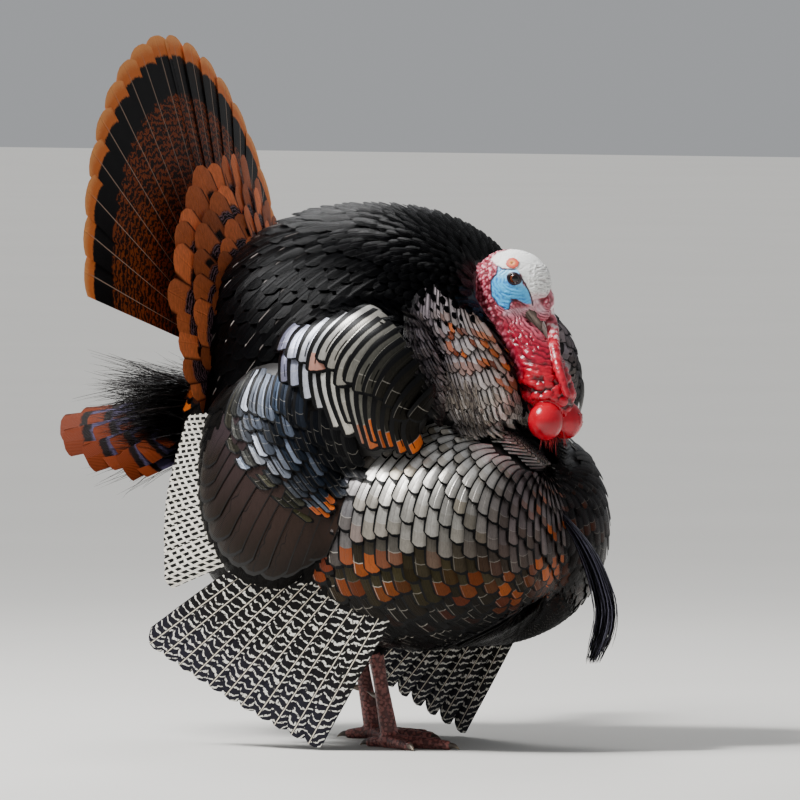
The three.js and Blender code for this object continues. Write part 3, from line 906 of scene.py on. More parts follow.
def breast_points(angles, falls):
    """Points of the breast at angles round its axis, and at falls from its top pole to the other."""
    start = np.tile((BREAST_TOP + BREAST_BOTTOM) / 2, (len(angles), 1))
    way = np.cos(angles)[:, None] * BREAST_FRONT + np.sin(angles)[:, None] * BREAST_LEFT
    way = way * np.sin(falls)[:, None] + BREAST_AXIS * -np.cos(falls)[:, None]
    far = np.zeros(len(angles))
    for _ in range(30):
        far = np.maximum(far - breast_form(start + way * far[:, None]), 0)
    return start + way * far[:, None]


def down_the_breast(p, normals):
    """The way down a meridian between the breast's poles."""
    radial = (p - BREAST_TOP) - dot(p - BREAST_TOP, BREAST_AXIS) * BREAST_AXIS
    around = unit(np.cross(BREAST_AXIS[None], radial))
    way = unit(np.cross(around, normals))
    return way * np.where(dot(way, BREAST_AXIS) < 0, -1, 1)


def breast_colours(p, rng):
    """The colour, sheen, copper and pale line of breast feathers by their place, with painted highlight on
    the upper front and painted shade below and on the far side.
    """
    radial = p - BREAST_TOP
    around = np.degrees(np.arctan2(np.abs(radial[:, 1]), radial @ BREAST_FRONT))
    z = p[:, 2]
    colour = painted(
        "#332b22",
        # Painted highlight: silver-white on the upper front and near-white at the top, where the light falls
        # on the glossy feathers.
        ("#d2cec6", ramp(z, 232, 300) * bell(around, 114, 50)),
        ("#f4f1ec", ramp(z, 296, 338) * bell(around, 112, 44)),
        ("#86838c", ramp(z, 235, 275) * ramp(around, 124, 136)),
        ("#7a6e6e", ramp(around, 100, 78) * ramp(z, 215, 260)),
        ("#322e1c", bell(around, 114, 40) * bell(z, 208, 56) * 0.88),
        # Darker towards the bottom, leading into the painted shade under the breast.
        ("#18130c", ramp(z, 212, 172)),
        ("#341c12", ramp(around, 74, 48) * ramp(z, 260, 215)),
        # Painted shade: near-black under the breast.
        ("#040303", ramp(z, 184, 150)),
    )
    chance = rng.random(len(p))
    copper = bell(z, 238, 58) * ramp(around, 108, 134)
    copper = np.maximum(copper, ramp(around, 86, 55) * ramp(z, 335, 270) * ramp(z, 128, 165))
    copper = np.maximum(copper, bell(around, 98, 36) * bell(z, 200, 66) * 0.62) * ramp(chance, 0.34, 0.66)
    # Painted shade: the far side of the breast, turned from the light, is made near-black and its copper
    # faint.
    far = (p[:, 1] > 0) & (around > 8)
    colour[far] = painted(colour[far], ("#070608", np.full(far.sum(), 0.92)))
    copper[far] *= 0.12
    pale = (0.25 + 0.5 * ramp(around, 112, 134)) * ramp(rng.random(len(p)), 0.15, 0.7)
    sheen = 0.15 + 0.7 * ramp(z, 150, 240)
    return colour, sheen, copper, pale


def breast_width(around):
    """How far apart the columns of feathers are, by the angle from the front in degrees."""
    return np.interp(around, [0, 60, 90, 112, 126, 138, 160], [10, 13, 14.5, 16, 17, 18.5, 22])


def make_breast(material):
    """The breast's feathers, as one coat for each side."""
    angles = np.radians(np.linspace(0, BREAST_REACH, 181))
    middles = breast_points(angles, np.full(181, np.pi / 2))
    run = run_of(middles)
    columns, at = [], 4.0
    while at < run[-1]:
        columns.append(np.interp(at, run, angles))
        at += breast_width(math.degrees(columns[-1]))
    falls = np.linspace(0, np.pi, 120)
    rng = np.random.default_rng(11)
    for side in SIDES:
        coat = Coat(f"breast_feathers_{SIDE_NAMES[side]}", material, "plumage", rows=8, columns=6)
        for number, angle in enumerate(columns):
            lane = breast_points(np.full(120, angle), falls)
            beside = breast_points(np.full(120, angle + 0.02), falls)
            wide = np.linalg.norm(beside - lane, axis=1) / 0.02
            gap = np.interp(angle, columns, np.gradient(columns)) * wide
            run = run_of(lane)
            roots, lengths, widths = [], [], []
            at = 2.0 + 6.0 * (number % 2)
            while at < run[-1] - 8:
                local = np.interp(at, run, gap)
                step = float(np.clip(local * 2.25, 4.5, 42))
                roots.append(between(at, run, lane))
                lengths.append(step * 2.1)
                widths.append(max(local * 0.62, 1.6))
                at += step * (0.93 + 0.14 * rng.random())
            roots = np.array(roots) * (1, side, 1)
            shown = trunk(roots) > -6
            roots, lengths, widths = roots[shown], np.array(lengths)[shown], np.array(widths)[shown]
            count = len(roots)
            tips = roots + (0, 0, -1) * lengths[:, None] * 0.6
            colour, sheen, copper, pale = breast_colours(tips, rng)
            colour = colour * (0.6 + 0.65 * rng.random(count))[:, None]
            tint = with_fourth(colour, sheen)
            mark = marks(count, 1, copper, pale, rng)
            coat.lay(
                trunk, roots, np.tile(vec(0, 0, -1), (count, 1)), lengths, widths, tint, mark,
                flow=down_the_breast, sink=5.5, rise=1.0, tip=1.1, power=2.2, skew=0.5,
                arch=0.09, roll=0.06,
            )
        if side < 0:
            coat.make("trunk")
        else:
            coat.make()


# ------------------------------------------------------------------ the room
FLOOR_REACH = 30
SKY_COLOUR, SKY_STRENGTH = (0.80, 0.82, 0.85, 1), 0.46
# Each lamp: name, kind, azimuth, elevation, distance in metres, size and power.
LAMPS = [
    ("sun", "SUN", -34, 54, 0, 7, 2.6),
    ("key", "AREA", -34, 54, 2.6, 0.9, 120),
    ("rim", "AREA", 215, 48, 2.8, 1.0, 32),
]


def make_stage():
    """A pale floor and soft lights."""
    mesh = bpy.data.meshes.new("floor")
    corners = [(x * FLOOR_REACH, y * FLOOR_REACH, 0) for x, y in ((-1, -1), (1, -1), (1, 1), (-1, 1))]
    mesh.from_pydata(corners, [], [(0, 1, 2, 3)])
    floor = bpy.data.objects.new("floor", mesh)
    bpy.context.scene.collection.objects.link(floor)
    paint = Paint("floor_paint", 0.7)
    mesh.materials.append(paint.finish(paint.mix(paint.noise(0.6), "#cfcdc8", "#d6d4cf")))
    world = bpy.context.scene.world or bpy.data.worlds.new("room")
    bpy.context.scene.world = world
    world.use_nodes = True
    background = world.node_tree.nodes["Background"]
    background.inputs["Color"].default_value = SKY_COLOUR
    background.inputs["Strength"].default_value = SKY_STRENGTH
    for lamp in LAMPS:
        make_lamp(*lamp)


def make_lamp(name, kind, azimuth, elevation, far, size, power):
    """A lamp turned to the bird's middle. Its size is in metres, or in degrees for the sun."""
    light = bpy.data.lights.new(name, kind)
    light.energy = power
    if kind == "SUN":
        light.angle = math.radians(size)
    else:
        light.size = size
    lamp = bpy.data.objects.new(name, light)
    bpy.context.scene.collection.objects.link(lamp)
    back = way_back(azimuth, elevation)
    lamp.location = (MIDDLE + SHIFT) * MM + back * far
    lamp.rotation_euler = Vector(back).to_track_quat("Z", "Y").to_euler()


def make_camera():
    """The camera, framed so that the bird's origin falls at its place in the picture."""
    half = PHOTO_SIZE / 2
    aim = SHIFT + LOOK_RIGHT * (half - PHOTO_ORIGIN[0]) * PHOTO_MM
    aim = aim + LOOK_UP * (PHOTO_ORIGIN[1] - half) * PHOTO_MM
    data = bpy.data.cameras.new("camera")
    data.lens = SENSOR_WIDTH * CAMERA_FAR / (PHOTO_SIZE * PHOTO_MM * MM)
    data.clip_end = CLIP_END
    camera = bpy.data.objects.new("camera", data)
    bpy.context.scene.collection.objects.link(camera)
    camera.location = aim * MM + LOOK_BACK * CAMERA_FAR
    camera.rotation_euler = Vector(LOOK_BACK).to_track_quat("Z", "Y").to_euler()
    bpy.context.scene.camera = camera


# ------------------------------------------------------------------ places on the body
def from_side(field, x, z, side, start=320.0):
    """Where a level line from a side of the bird, at x and z, first meets a form."""
    p = np.stack([np.asarray(x, float), np.full(len(x), start * side), np.asarray(z, float)], axis=1)
    for _ in range(40):
        p[:, 1] -= side * np.clip(field(p), -20, 40) * 0.8
    return p


def curve_at(points, shares):
    """Points at shares from 0 to 1 of a smooth line through the given ones, in x and z."""
    flat = [(x, 0, z) for x, z in points]
    line = smooth_route(flat, 40)
    at = np.linspace(0, 1, 41)
    return np.interp(shares, at, line[:, 0]), np.interp(shares, at, line[:, 2])


def lofted(keys, shares, steps=24):
    """Lines between key lines in the picture, at shares from 0 at the first key to 1 at the last."""
    smooth = np.stack([smooth_route([(x, y, 0) for x, y in key], steps)[:, :2] for key in keys])
    at = np.clip(np.asarray(shares), 0, 1) * (len(keys) - 1)
    low = np.minimum(at.astype(int), len(keys) - 2)
    return lerp(smooth[low], smooth[low + 1], (at - low)[:, None, None])


def lanes_on(field, keys, shares, side):
    """Lines over a form from key lines in the picture."""
    flat = lofted(keys, shares)
    return from_camera(field, flat.reshape(-1, 2), side).reshape(*flat.shape[:2], 3)


def along_lane(lane, starts, lengths, samples=8):
    """Stretches of a lane, which run straight on past its end."""
    run = run_of(lane)
    want = starts[:, None] + lengths[:, None] * np.linspace(0, 1, samples + 1)
    spot = between(want, run, lane)
    past = np.maximum(want - run[-1], 0)[..., None]
    return spot + past * unit(lane[-1] - lane[-3])


def level_from(sink, rise, samples=8):
    return -sink + (sink + rise) * np.linspace(0, 1, samples + 1)


def normals_at(field, spine):
    return gradient(field, spine.reshape(-1, 3)).reshape(spine.shape)


def feathers_in_lanes(
    coat, field, lanes, step, overlap, widen, looks, rng, *,
    past=12.0, sink=5.0, rise=1.5, **shape,
):
    """Feathers one behind another along lanes.

    looks gives their tint and mark from the lane's place among the lanes and the share of its length.
    """
    spines, widths, tints, all_marks = [], [], [], []
    for number, lane in enumerate(lanes):
        beside = lanes[min(number + 1, len(lanes) - 1)]
        before = lanes[max(number - 1, 0)]
        gap = np.linalg.norm(beside - before, axis=1) / (2 if 0 < number < len(lanes) - 1 else 1)
        run = run_of(lane)
        starts = []
        at = run[-1] + past - step * (overlap + 0.25 * (number % 2))
        at -= step * np.floor(at / step + 0.5)
        while at + step * overlap < run[-1] + past:
            starts.append(max(at, 0.0))
            at += step * (0.9 + 0.2 * rng.random())
        starts = np.array(starts)
        lengths = step * overlap * (0.94 + 0.12 * rng.random(len(starts)))
        share = (starts + lengths * 0.75) / run[-1]
        spines.append(along_lane(lane, starts, lengths))
        widths.append(np.interp(share * run[-1], run, gap) * widen)
        tint, mark = looks(np.full(len(starts), number / (len(lanes) - 1)), share, rng)
        tints.append(tint)
        all_marks.append(mark)
    spine = np.concatenate(spines)
    hand = np.where(spine[:, 0, 1] < 0, 1.0, -1.0)
    coat.place(
        spine, normals_at(field, spine), np.concatenate(widths), hand, np.concatenate(tints),
        np.concatenate(all_marks), field=field, level=level_from(sink, rise), **shape,
    )


def shade_table(stops, at):
    """Colours for places from 0 to 1 between hex colours at given places."""
    return between(at, [place for place, _ in stops], np.array([flat_colour(code) for _, code in stops]))


# ------------------------------------------------------------------ wings
SCAPULAR_KEYS = [
    [(292, 324), (286, 338), (283, 352), (283, 364), (284, 376)],
    [(312, 325), (303, 341), (300, 356), (300, 372), (302, 388)],
    [(342, 316), (327, 336), (319, 356), (318, 378), (324, 411)],
    [(378, 306), (352, 328), (333, 353), (330, 380), (346, 428)],
    [(386, 318), (362, 343), (347, 366), (346, 393), (362, 433)],
    [(400, 328), (377, 347), (361, 372), (359, 396), (370, 436)],
    [(407, 342), (387, 360), (374, 385), (373, 411), (381, 440)],
    [(416, 358), (397, 378), (387, 401), (385, 422), (393, 446)],
    [(427, 376), (410, 396), (400, 415), (399, 430), (405, 449)],
    [(440, 396), (425, 412), (416, 425), (415, 434), (421, 448)],
]
# Each tier: where its feathers start and end on their lanes, brightness, sink, rise and share of gold.
SCAPULAR_TIERS = [(0.30, 1.0, 0.85, 1, 3.5, 1.0), (0.0, 0.58, 0.62, 2, 7.5, 0.0)]
COVERT_KEYS = [
    [(246, 370), (231, 412), (233, 440), (249, 468), (279, 496), (312, 520)],
    [(257, 368), (246, 410), (257, 438), (273, 465), (294, 489), (321, 513)],
    [(271, 364), (265, 407), (274, 437), (287, 460), (306, 485), (330, 508)],
    [(285, 364), (281, 407), (289, 437), (302, 459), (318, 482), (337, 501)],
    [(299, 372), (299, 415), (308, 440), (318, 459), (330, 477), (344, 493)],
    [(316, 388), (318, 426), (325, 446), (334, 462), (343, 474), (352, 482)],
    [(336, 404), (340, 434), (344, 447), (349, 457), (355, 465), (361, 471)],
    [(358, 424), (361, 436), (364, 444), (366, 450), (368, 455), (370, 459)],
]
SHOULDER_ZONE = [
    (238, 398), (262, 384), (283, 376), (282, 330), (308, 318), (336, 302), (350, 314), (378, 302),
    (400, 326), (416, 350), (442, 384), (452, 424), (436, 446), (380, 486), (340, 514), (300, 524),
    (240, 470),
]


def make_scapulars(material):
    """Long feathers that arch out of the back and bow to the rear, in two tiers; their silver is painted
    highlight.
    """
    coat = Coat("scapular_feathers", material, "wing_feathers", rows=14, columns=6, thick=0.9)
    rng = np.random.default_rng(21)
    count, samples = 14, 12
    shares = (np.arange(count) + 0.5) / count
    # The feathers' own purple-grey, olive and black, with painted highlight: silver-white in the middle lanes
    # where the light falls.
    tones_and_highlight = [
        (0, "#6e6c86"), (0.11, "#b4b8ce"), (0.24, "#cfd0d4"), (0.36, "#d4cfc4"), (0.5, "#a8a59c"),
        (0.6, "#77756c"), (0.7, "#2f2d28"), (1, "#120f0b"),
    ]
    for side in SIDES:
        lanes = lanes_on(mantle, SCAPULAR_KEYS, shares, side)
        for start, end, bright, sink, rise, gold in SCAPULAR_TIERS:
            spines = []
            for lane in lanes:
                run = np.linalg.norm(np.diff(lane, axis=0), axis=1).sum()
                first = run * (start + 0.03 * rng.normal())
                length = run * (end - start) * (1 + 0.04 * rng.normal())
                spines.append(along_lane(lane, np.array([first]), np.array([length]), samples)[0])
            spine = np.stack(spines)
            half = np.interp(shares, [0, 0.1, 0.3, 0.55, 1], [12, 14.5, 14, 13, 11])
            colour = shade_table(tones_and_highlight, shares) * (bright * (0.85 + 0.3 * rng.random(count)))[:, None]
            copper = ramp(shares, 0.5, 0.64) * gold + (rng.random(count) < 0.05) * 0.6
            mark = marks(count, 1, copper, 0.35, rng)
            level = -sink + (sink + rise) * np.sin(np.linspace(0.15, 1, samples + 1) * np.pi / 2)
            coat.place(
                spine, normals_at(mantle, spine), half, np.full(count, -float(side)),
                with_fourth(colour, 0.7), mark, field=mantle, level=level,
                tip=0.45, power=3.2, skew=0.1, roll=0.3, arch=0.14, waist=0.9,
            )
    return coat.make("scapulars_right", "scapulars_left")


def covert_looks(lane, share, rng):
    """Painted silver highlight in the lanes near the rear, dark blue-grey in the middle and black in front.
    """
    count = len(lane)
    # Lanes from 0.12 to 0.27 carry a painted silver highlight; the rest are the feathers' own tones.
    colour = shade_table([
        (0, "#2f2d26"), (0.06, "#3c3c38"), (0.12, "#7d828c"), (0.18, "#b4bac8"), (0.27, "#8e96a6"),
        (0.36, "#2c3644"), (0.55, "#1c222c"), (0.8, "#0c0d10"), (1, "#0b0908"),
    ], lane)
    glint = (rng.random(count) < 0.22) * ramp(lane, 0.75, 0.4)
    colour = lerp(colour, flat_colour("#8995ab")[None], (glint * 0.7)[:, None])
    colour = painted(
        colour,
        ("#3f3d2a", ramp(share, 0.5, 0.8) * ramp(lane, 0.3, 0.08)),
        ("#0c0d10", (rng.random(count) < 0.35) * 0.75),
    )
    colour *= (0.5 + 0.7 * rng.random(count))[:, None]
    gold = ramp(share, 0.86, 0.93) * bell(lane, 0.3, 0.26) * 1.6 * (rng.random(count) < 0.7)
    tint = with_fourth(colour, 0.65)
    return tint, marks(count, 1, np.clip(gold, 0, 1), 0.2, rng)


def make_coverts(material):
    """Lanes of narrow dark coverts with silver glints."""
    coat = Coat("lesser_coverts", material, "wing_feathers", rows=8, columns=6, thick=0.7)
    rng = np.random.default_rng(22)
    shares = np.concatenate([[0.0, 0.05, 0.1], np.arange(1.0, 7.01, 0.44) / 7])
    for side in SIDES:
        lanes = lanes_on(plumage, COVERT_KEYS, shares, side)
        feathers_in_lanes(
            coat, plumage, lanes, 34, 1.9, 0.74, covert_looks, rng,
            past=12, sink=4, rise=2.6, tip=2.0, power=1.5, skew=0.4, roll=0.22, arch=0.12,
        )
    return coat.make()


def paint_greater_covert():
    """Satin purple-brown feathers with fine dark splits and a black rim."""
    paint = Paint("greater_covert", 0.32, specular=0.25)
    u, v = paint.on_vane()
    tint, _, _, _, _ = paint.colours("tint")
    chance = paint.colours("mark")[4]
    barbs = barbs_on(u, v, 240, 70)
    grain = paint.noise(0.003, 3.0, stretch=(1, 1, 0.25))
    colour = paint.dimmed(tint, grain * 0.5 + barbs * 0.08 + 0.7)
    olive = paint.mix(v.above(0.45, 1.0), "#ffffff", "#8a7430")
    colour = paint.mix(1.0, colour, olive, "MULTIPLY")
    split = (u + (paint.noise(0.012, 1.0) - 0.5) * 0.5 - 0.3).size().above(0.035, 0.01)
    split = split * v.above(0.45, 0.6)
    colour = paint.mix(split * chance.above(0.3, 0.5), colour, "#070505")
    rim = v.above(0.955, 0.97).at_least(u.size().above(0.93, 0.97))
    colour = paint.mix(rim, colour, "#050404")
    paint.bump(barbs, 0.0003, 0.5)
    return paint.finish(colour, Metallic=(1.0 - rim) * 0.45)


def make_greater_coverts():
    """The satin oval of the wing, in broad feathers that fan from under the diagonal."""
    coat = Coat("greater_coverts", paint_greater_covert(), "wing_feathers", rows=12, columns=8, thick=0.9)
    rng = np.random.default_rng(23)
    roots = [(-32, 440), (0, 404), (32, 372), (66, 336), (98, 300)]
    tips = [(-84, 350), (-92, 290), (-62, 232), (-4, 206), (62, 236)]
    satin = ("#362b2e", "#2f2321", "#2a1d17", "#241710")
    count, jitter = 12, 0.0
    for side in SIDES:
        shares = (np.arange(count) + 0.5) / count + (rng.random(count) - 0.5) * 0.3 / count
        start, end = (from_side(plumage, *curve_at(ends, shares), side) for ends in (roots, tips))
        length = np.linalg.norm(end - start, axis=1) * (1.03 + jitter * rng.normal(size=count))
        beyond = end + (end - start) * 0.15
        colour = shade_table(list(zip(np.linspace(0, 1, len(satin)), satin)), shares)
        tint = with_fourth(colour * (0.85 + 0.3 * rng.random(count))[:, None], 0.4)
        coat.lay(
            plumage, start, end - start, length, 17 + 9 * bell(shares, 0.5, 0.6), tint,
            marks(count, 1, 0, 0, rng), flow=lambda p, _: beyond - p,
            sink=3, rise=2.0, tip=1.0, power=2.2, roll=-0.12, arch=0.06,
        )
    return coat.make("wing_coverts_right", "wing_coverts_left")


def flight_spines(roots, lengths, slants, count, side, bow, outward, samples=10):
    """The middles of long wing feathers that hang from a line of roots, and which way they face."""
    line = smooth_route(roots, 40)
    shares = (np.arange(count) + 0.5) / count
    at = np.linspace(0, 1, 41)
    root = between(shares, at, line)
    slant = np.radians(lerp(slants[0], slants[1], shares))
    length = lerp(lengths[0], lengths[1], shares)
    out = np.linspace(0, 1, samples + 1)[None, :, None]
    way = np.stack([np.sin(slant), np.zeros(count), -np.cos(slant)], axis=1)
    spine = root[:, None] + way[:, None] * length[:, None, None] * out
    spine[..., 1:2] += outward * out + bow * np.sin(np.pi * out)
    spine[..., 1] *= side
    normals = np.tile(vec(0, side, 0), (*spine.shape[:2], 1))
    return spine, normals


def paint_lattice():
    """Secondaries: cream with rows of short black dashes and thin shafts."""
    paint = Paint("secondary_lattice", 0.55, specular=0.12)
    u, v = paint.on_vane()
    chance = paint.colours("mark")[4]
    wobble = (paint.noise(0.005, 2.0) - 0.5)
    lane = (u * 2.4 + wobble * 0.12 + 8.0).part_of_step()
    beat = (v * 12.5 + u * 1.6 + chance * 0.25 + wobble * 0.5).part_of_step()
    long_dash = v.above(0.75, 0.25)
    dash = (beat - 0.5).size().above(0.37, 0.31)
    dash = dash.at_least((beat - 0.5).size().above(0.45, 0.4) * long_dash)
    dash = dash * (lane - 0.55).size().above(0.33, 0.27)
    cream = paint.mix(paint.noise(0.02, 2.0), "#d8d2c4", "#efebe2")
    colour = paint.mix(dash, cream, "#070504")
    line = (lane - 0.02).size().above(0.05, 0.02)
    colour = paint.mix(line * 0.6, colour, "#6b6258")
    barbs = barbs_on(u, v, 260, 60)
    paint.bump(barbs + line * -1.0, 0.0004, 0.6)
    return paint.finish(colour)


def paint_primary():
    """Primaries: black with uneven white bars and a long pale shaft."""
    paint = Paint("primary_barred", 0.45, specular=0.12)
    u, v = paint.on_vane()
    chance = paint.colours("mark")[4]
    wobble = paint.noise(0.009, 2.0) - 0.5
    beat = (v * 23.0 + u * 1.1 + chance * 5.0 + wobble * 1.5).part_of_step()
    white = (beat - 0.5).size().above(0.155, 0.09)
    gaps = paint.noise(0.004, 2.0).above(0.36, 0.44)
    white = white * gaps * u.size().above(0.97, 0.9) * (u.size() - 0.05).above(0.02, 0.08)
    ground = paint.mix(v.above(0.6, 0.95) * 0.5, "#0b090a", "#23222f")
    colour = paint.mix(white, ground, "#d9d6cd")
    shaft = u.size().above(0.05, 0.025)
    colour = paint.mix(shaft, colour, "#d8cfbd")
    barbs = barbs_on(u, v, 260, 60)
    paint.bump(barbs + u.size().above(0.07, 0.0) * 2.0, 0.0004, 0.6)
    return paint.finish(colour)


def make_flight_feathers():
    """The primaries and secondaries of both drooped wings."""
    grid = {"rows": 10, "columns": 6, "thick": 0.9, "large": True}
    primaries = Coat("primary_feathers", paint_primary(), "wing_feathers", **grid)
    secondaries = Coat("secondary_feathers", paint_lattice(), "wing_feathers", **grid)
    rng = np.random.default_rng(24)
    for side in SIDES:
        for coat, route, lengths, slants, count, half, bow, outward in (
            (primaries, PRIMARY_ROOTS, PRIMARY_LENGTHS, PRIMARY_SLANTS, 11, 15, 4, 12),
            (secondaries, SECONDARY_ROOTS, SECONDARY_LENGTHS, SECONDARY_SLANTS, 14, 15, 8, -14),
        ):
            spine, normals = flight_spines(route, lengths, slants, count, side, bow, outward)
            coat.place(
                spine, normals, np.full(count, float(half)), np.full(count, -float(side)),
                np.ones((count, 4)), marks(count, 1, 0, 0, rng),
                tip=1.0, power=2.2, skew=0.2, roll=0.22, waist=0.6,
            )
    primaries.make("primaries_right", "primaries_left")
    secondaries.make("secondaries_right", "secondaries_left")


# ------------------------------------------------------------------ tail
TAIL_MATRIX = turned("Z", TAIL_TURN) @ turned("Y", -TAIL_LEAN)


def fan_spines(angles, lengths, near, ahead, forward=0.0, samples=12):
    """The middles of a fan's feathers, and which way each faces."""
    out = np.linspace(0, 1, samples + 1)[None, :]
    radius = near + (lengths[:, None] - near) * out
    turn = np.radians(angles)[:, None]
    x = ahead + forward * (1 - out) ** 1.5 - TAIL_SWEEP * radius * (1 - np.cos(turn))
    local = np.stack([x, radius * np.sin(turn), radius * np.cos(turn)], axis=-1)
    spine = TAIL_ROOT + local @ TAIL_MATRIX.T
    facing = np.stack([np.ones_like(radius), TAIL_SWEEP * np.sin(turn) + 0 * radius, 0 * radius], axis=-1)
    return spine, unit(facing) @ TAIL_MATRIX.T


def paint_rectrix():
    """Tail feathers: brown with fine rust bars, a black band and a rust tip."""
    paint = Paint("rectrix", 0.5, specular=0.1)
    u, v = paint.on_vane()
    chance = paint.colours("mark")[4]
    fray = (paint.noise(0.003, 2.0) - 0.5) * 0.018
    way = v + fray - u.size() * 0.01
    bars = ((way * 250 + (paint.noise(0.007, 3.0) - 0.5) * 16 + chance * 6).sine()).above(-0.1, 0.5)
    fade = way.above(0.15, 0.5)
    brown = paint.mix(bars * 0.9, "#190c07", "#853d18")
    brown = paint.mix(fade, "#2a1c16", brown)
    colour = paint.mix(way.above(0.795, 0.805), brown, "#060405")
    colour = paint.mix(way.above(0.925, 0.935), colour, "#cc6c30")
    colour = paint.mix(way.above(0.95, 0.995), colour, "#e69a5c")
    colour = paint.mix((u + 0.05).size().above(0.04, 0.015) * way.above(0.99, 0.9), colour, "#9a8272")
    barbs = barbs_on(u, v, 420, 90)
    colour = paint.dimmed(colour, barbs * 0.5 + 0.6, 0.35)
    paint.bump(barbs + u.size().above(0.06, 0.0) * 3.0, 0.0004, 0.6)
    return paint.finish(colour)


def make_tail():
    """The fan of tail feathers."""
    coat = Coat(
        "tail_feathers", paint_rectrix(), "tail_feathers", rows=14, columns=8, thick=0.8, large=True,
    )
    rng = np.random.default_rng(31)
    shares = (np.arange(TAIL_FEATHERS) + 0.5) / TAIL_FEATHERS
    angles = (2 * shares - 1) * TAIL_SPREAD
    lengths = lerp(TAIL_LENGTHS[0], TAIL_LENGTHS[1], np.abs(2 * shares - 1) ** 1.6)
    spine, normals = fan_spines(angles, lengths, 40, 0)
    hand = np.where(angles < 0, 1.0, -1.0)
    width = lengths * math.radians(TAIL_SPREAD / TAIL_FEATHERS) * 1.16
    coat.place(
        spine, normals, width, hand, np.ones((TAIL_FEATHERS, 4)), marks(TAIL_FEATHERS, 1, 0, 0, rng),
        tip=0.34, power=2.6, arch=0.012, roll=0.055, profile=lambda v: 0.22 + 0.78 * v,
    )
    return coat.make("tail_fan")


def paint_rump():
    """Tail coverts: dark with a coppery gloss, black before a broad rust tip, with painted shade along their
    sides.
    """
    paint = Paint("rump_covert", 0.5, specular=0.1)
    u, v = paint.on_vane()
    chance = paint.colours("mark")[4]
    tint = paint.colours("tint")[0]
    fray = (paint.noise(0.004, 2.0) - 0.5) * 0.03
    way = v + fray - u.size() * 0.015
    bars = ((way * 260 + (paint.noise(0.006, 3.0) - 0.5) * 9).sine()).above(0.1, 0.6)
    colour = paint.mix(bars * 0.8, "#0e0807", "#7e626c")
    streak = paint.noise(0.0025, 2.0, stretch=(1, 1, 0.3))
    rust = paint.dimmed(tint, streak * 0.9 + 0.55)
    start = 0.86 - chance * 0.12
    colour = paint.mix((way - start).above(0.0, 0.03), colour, rust)
    other = (chance * 9).part_of_step()
    spot = (way - 0.84 + other * 0.1).size().above(0.05, 0.02) * (u - other + 0.5).size().above(0.4, 0.25)
    spot = spot * chance.above(0.6, 0.66)
    colour = paint.mix(spot, colour, "#0d0807")
    # Painted shade between feathers: both sides of each covert are darkened.
    colour = paint.mix(u.size().above(0.8, 0.97) * 0.85, colour, "#160704")
    barbs = barbs_on(u, v, 200, 70)
    paint.bump(barbs + u.size().above(0.07, 0.0) * 2.0, 0.0005, 0.6)
    return paint.finish(colour, Metallic=0.15)


# Each row of coverts: its share of the full length, its count, and how far ahead of the tail it ends
# and starts.
TAIL_COVERT_ROWS = [(1.0, 25, 36, 14), (0.86, 23, 43, 18), (0.71, 21, 50, 24), (0.57, 19, 56, 30)]


def make_tail_coverts():
    """Rows of coverts over the front of the fan's base."""
    coat = Coat("tail_covert_feathers", paint_rump(), "tail_feathers", rows=10, columns=6, thick=0.8)
    rng = np.random.default_rng(32)
    for row, (scale, count, ahead, forward) in enumerate(TAIL_COVERT_ROWS):
        shares = (np.arange(count) + 0.5) / count
        spread = 112 - 3 * row
        angles = (2 * shares - 1) * spread + rng.normal(0, 1.2, count)
        lengths = lerp(256, 158, np.abs(2 * shares - 1) ** 1.6) * scale * (1 + rng.normal(0, 0.02, count))
        spine, normals = fan_spines(angles, lengths, 30, ahead, forward)
        width = lengths * math.radians(spread / count) * 1.25
        tint = with_fourth(flat_colour("#dc7646") * (0.4 + 0.75 * rng.random(count))[:, None], 0)
        coat.place(
            spine, normals, width, np.where(angles < 0, 1.0, -1.0), tint, marks(count, 1, 0, 0, rng),
            tip=0.8, power=2.3, arch=0.08, roll=0.15, profile=lambda v: 0.3 + 0.7 * ramp(v, -0.2, 0.9),
        )
    return coat.make("tail_coverts")


def paint_vent():
    """Under-tail coverts: rust end, a purple-grey band and black."""
    paint = Paint("vent_covert", 0.5, specular=0.12)
    u, v = paint.on_vane()
    fray = (paint.noise(0.004, 2.0) - 0.5) * 0.04
    way = v + fray
    colour = paint.mix(way.above(0.62, 0.68), "#0a0708", "#453e56")
    colour = paint.mix(way.above(0.8, 0.83), colour, "#120c0b")
    colour = paint.mix(way.above(0.865, 0.885), colour, "#5c240c")
    barbs = barbs_on(u, v, 170, 60)
    colour = paint.dimmed(colour, barbs * 0.5 + 0.65, 0.4)
    paint.bump(barbs, 0.0005, 0.6)
    return paint.finish(colour)


def vent_spines(shares, scale, lower=0.0, tilt=52, samples=10):
    """Feathers that fan out backwards below the tail, with those at the sides turned to face outward."""
    turn = np.radians((2 * shares - 1) * VENT_SPREAD)[:, None]
    length = lerp(VENT_LENGTHS[0], VENT_LENGTHS[1], np.abs(2 * shares - 1))[:, None] * scale
    out = np.linspace(0, 1, samples + 1)[None, :]
    radius = 20 + (length - 20) * out
    drop = -0.1 * radius - 0.3 * radius * np.sin(turn) ** 2 + lower * (1 - out * 0.6)
    spine = VENT_ROOT + np.stack([-radius * np.cos(turn), -radius * np.sin(turn), drop], axis=-1)
    side = np.where(turn < -0.02, -1.0, 1.0)
    outward = np.stack([np.abs(np.sin(turn)), -side * np.cos(turn), 0 * turn], axis=-1)
    lean = math.radians(tilt)
    normals = outward * math.sin(lean) + vec(0, 0, 1) * math.cos(lean)
    return spine, np.broadcast_to(unit(normals), spine.shape).copy()


# Each row of coverts: count, length as a share of the longest, height and tilt in degrees.
VENT_ROWS = [(9, 1.0, -2, 52), (10, 0.84, 10, 40), (11, 0.7, 18, 20), (10, 0.9, -20, 30)]


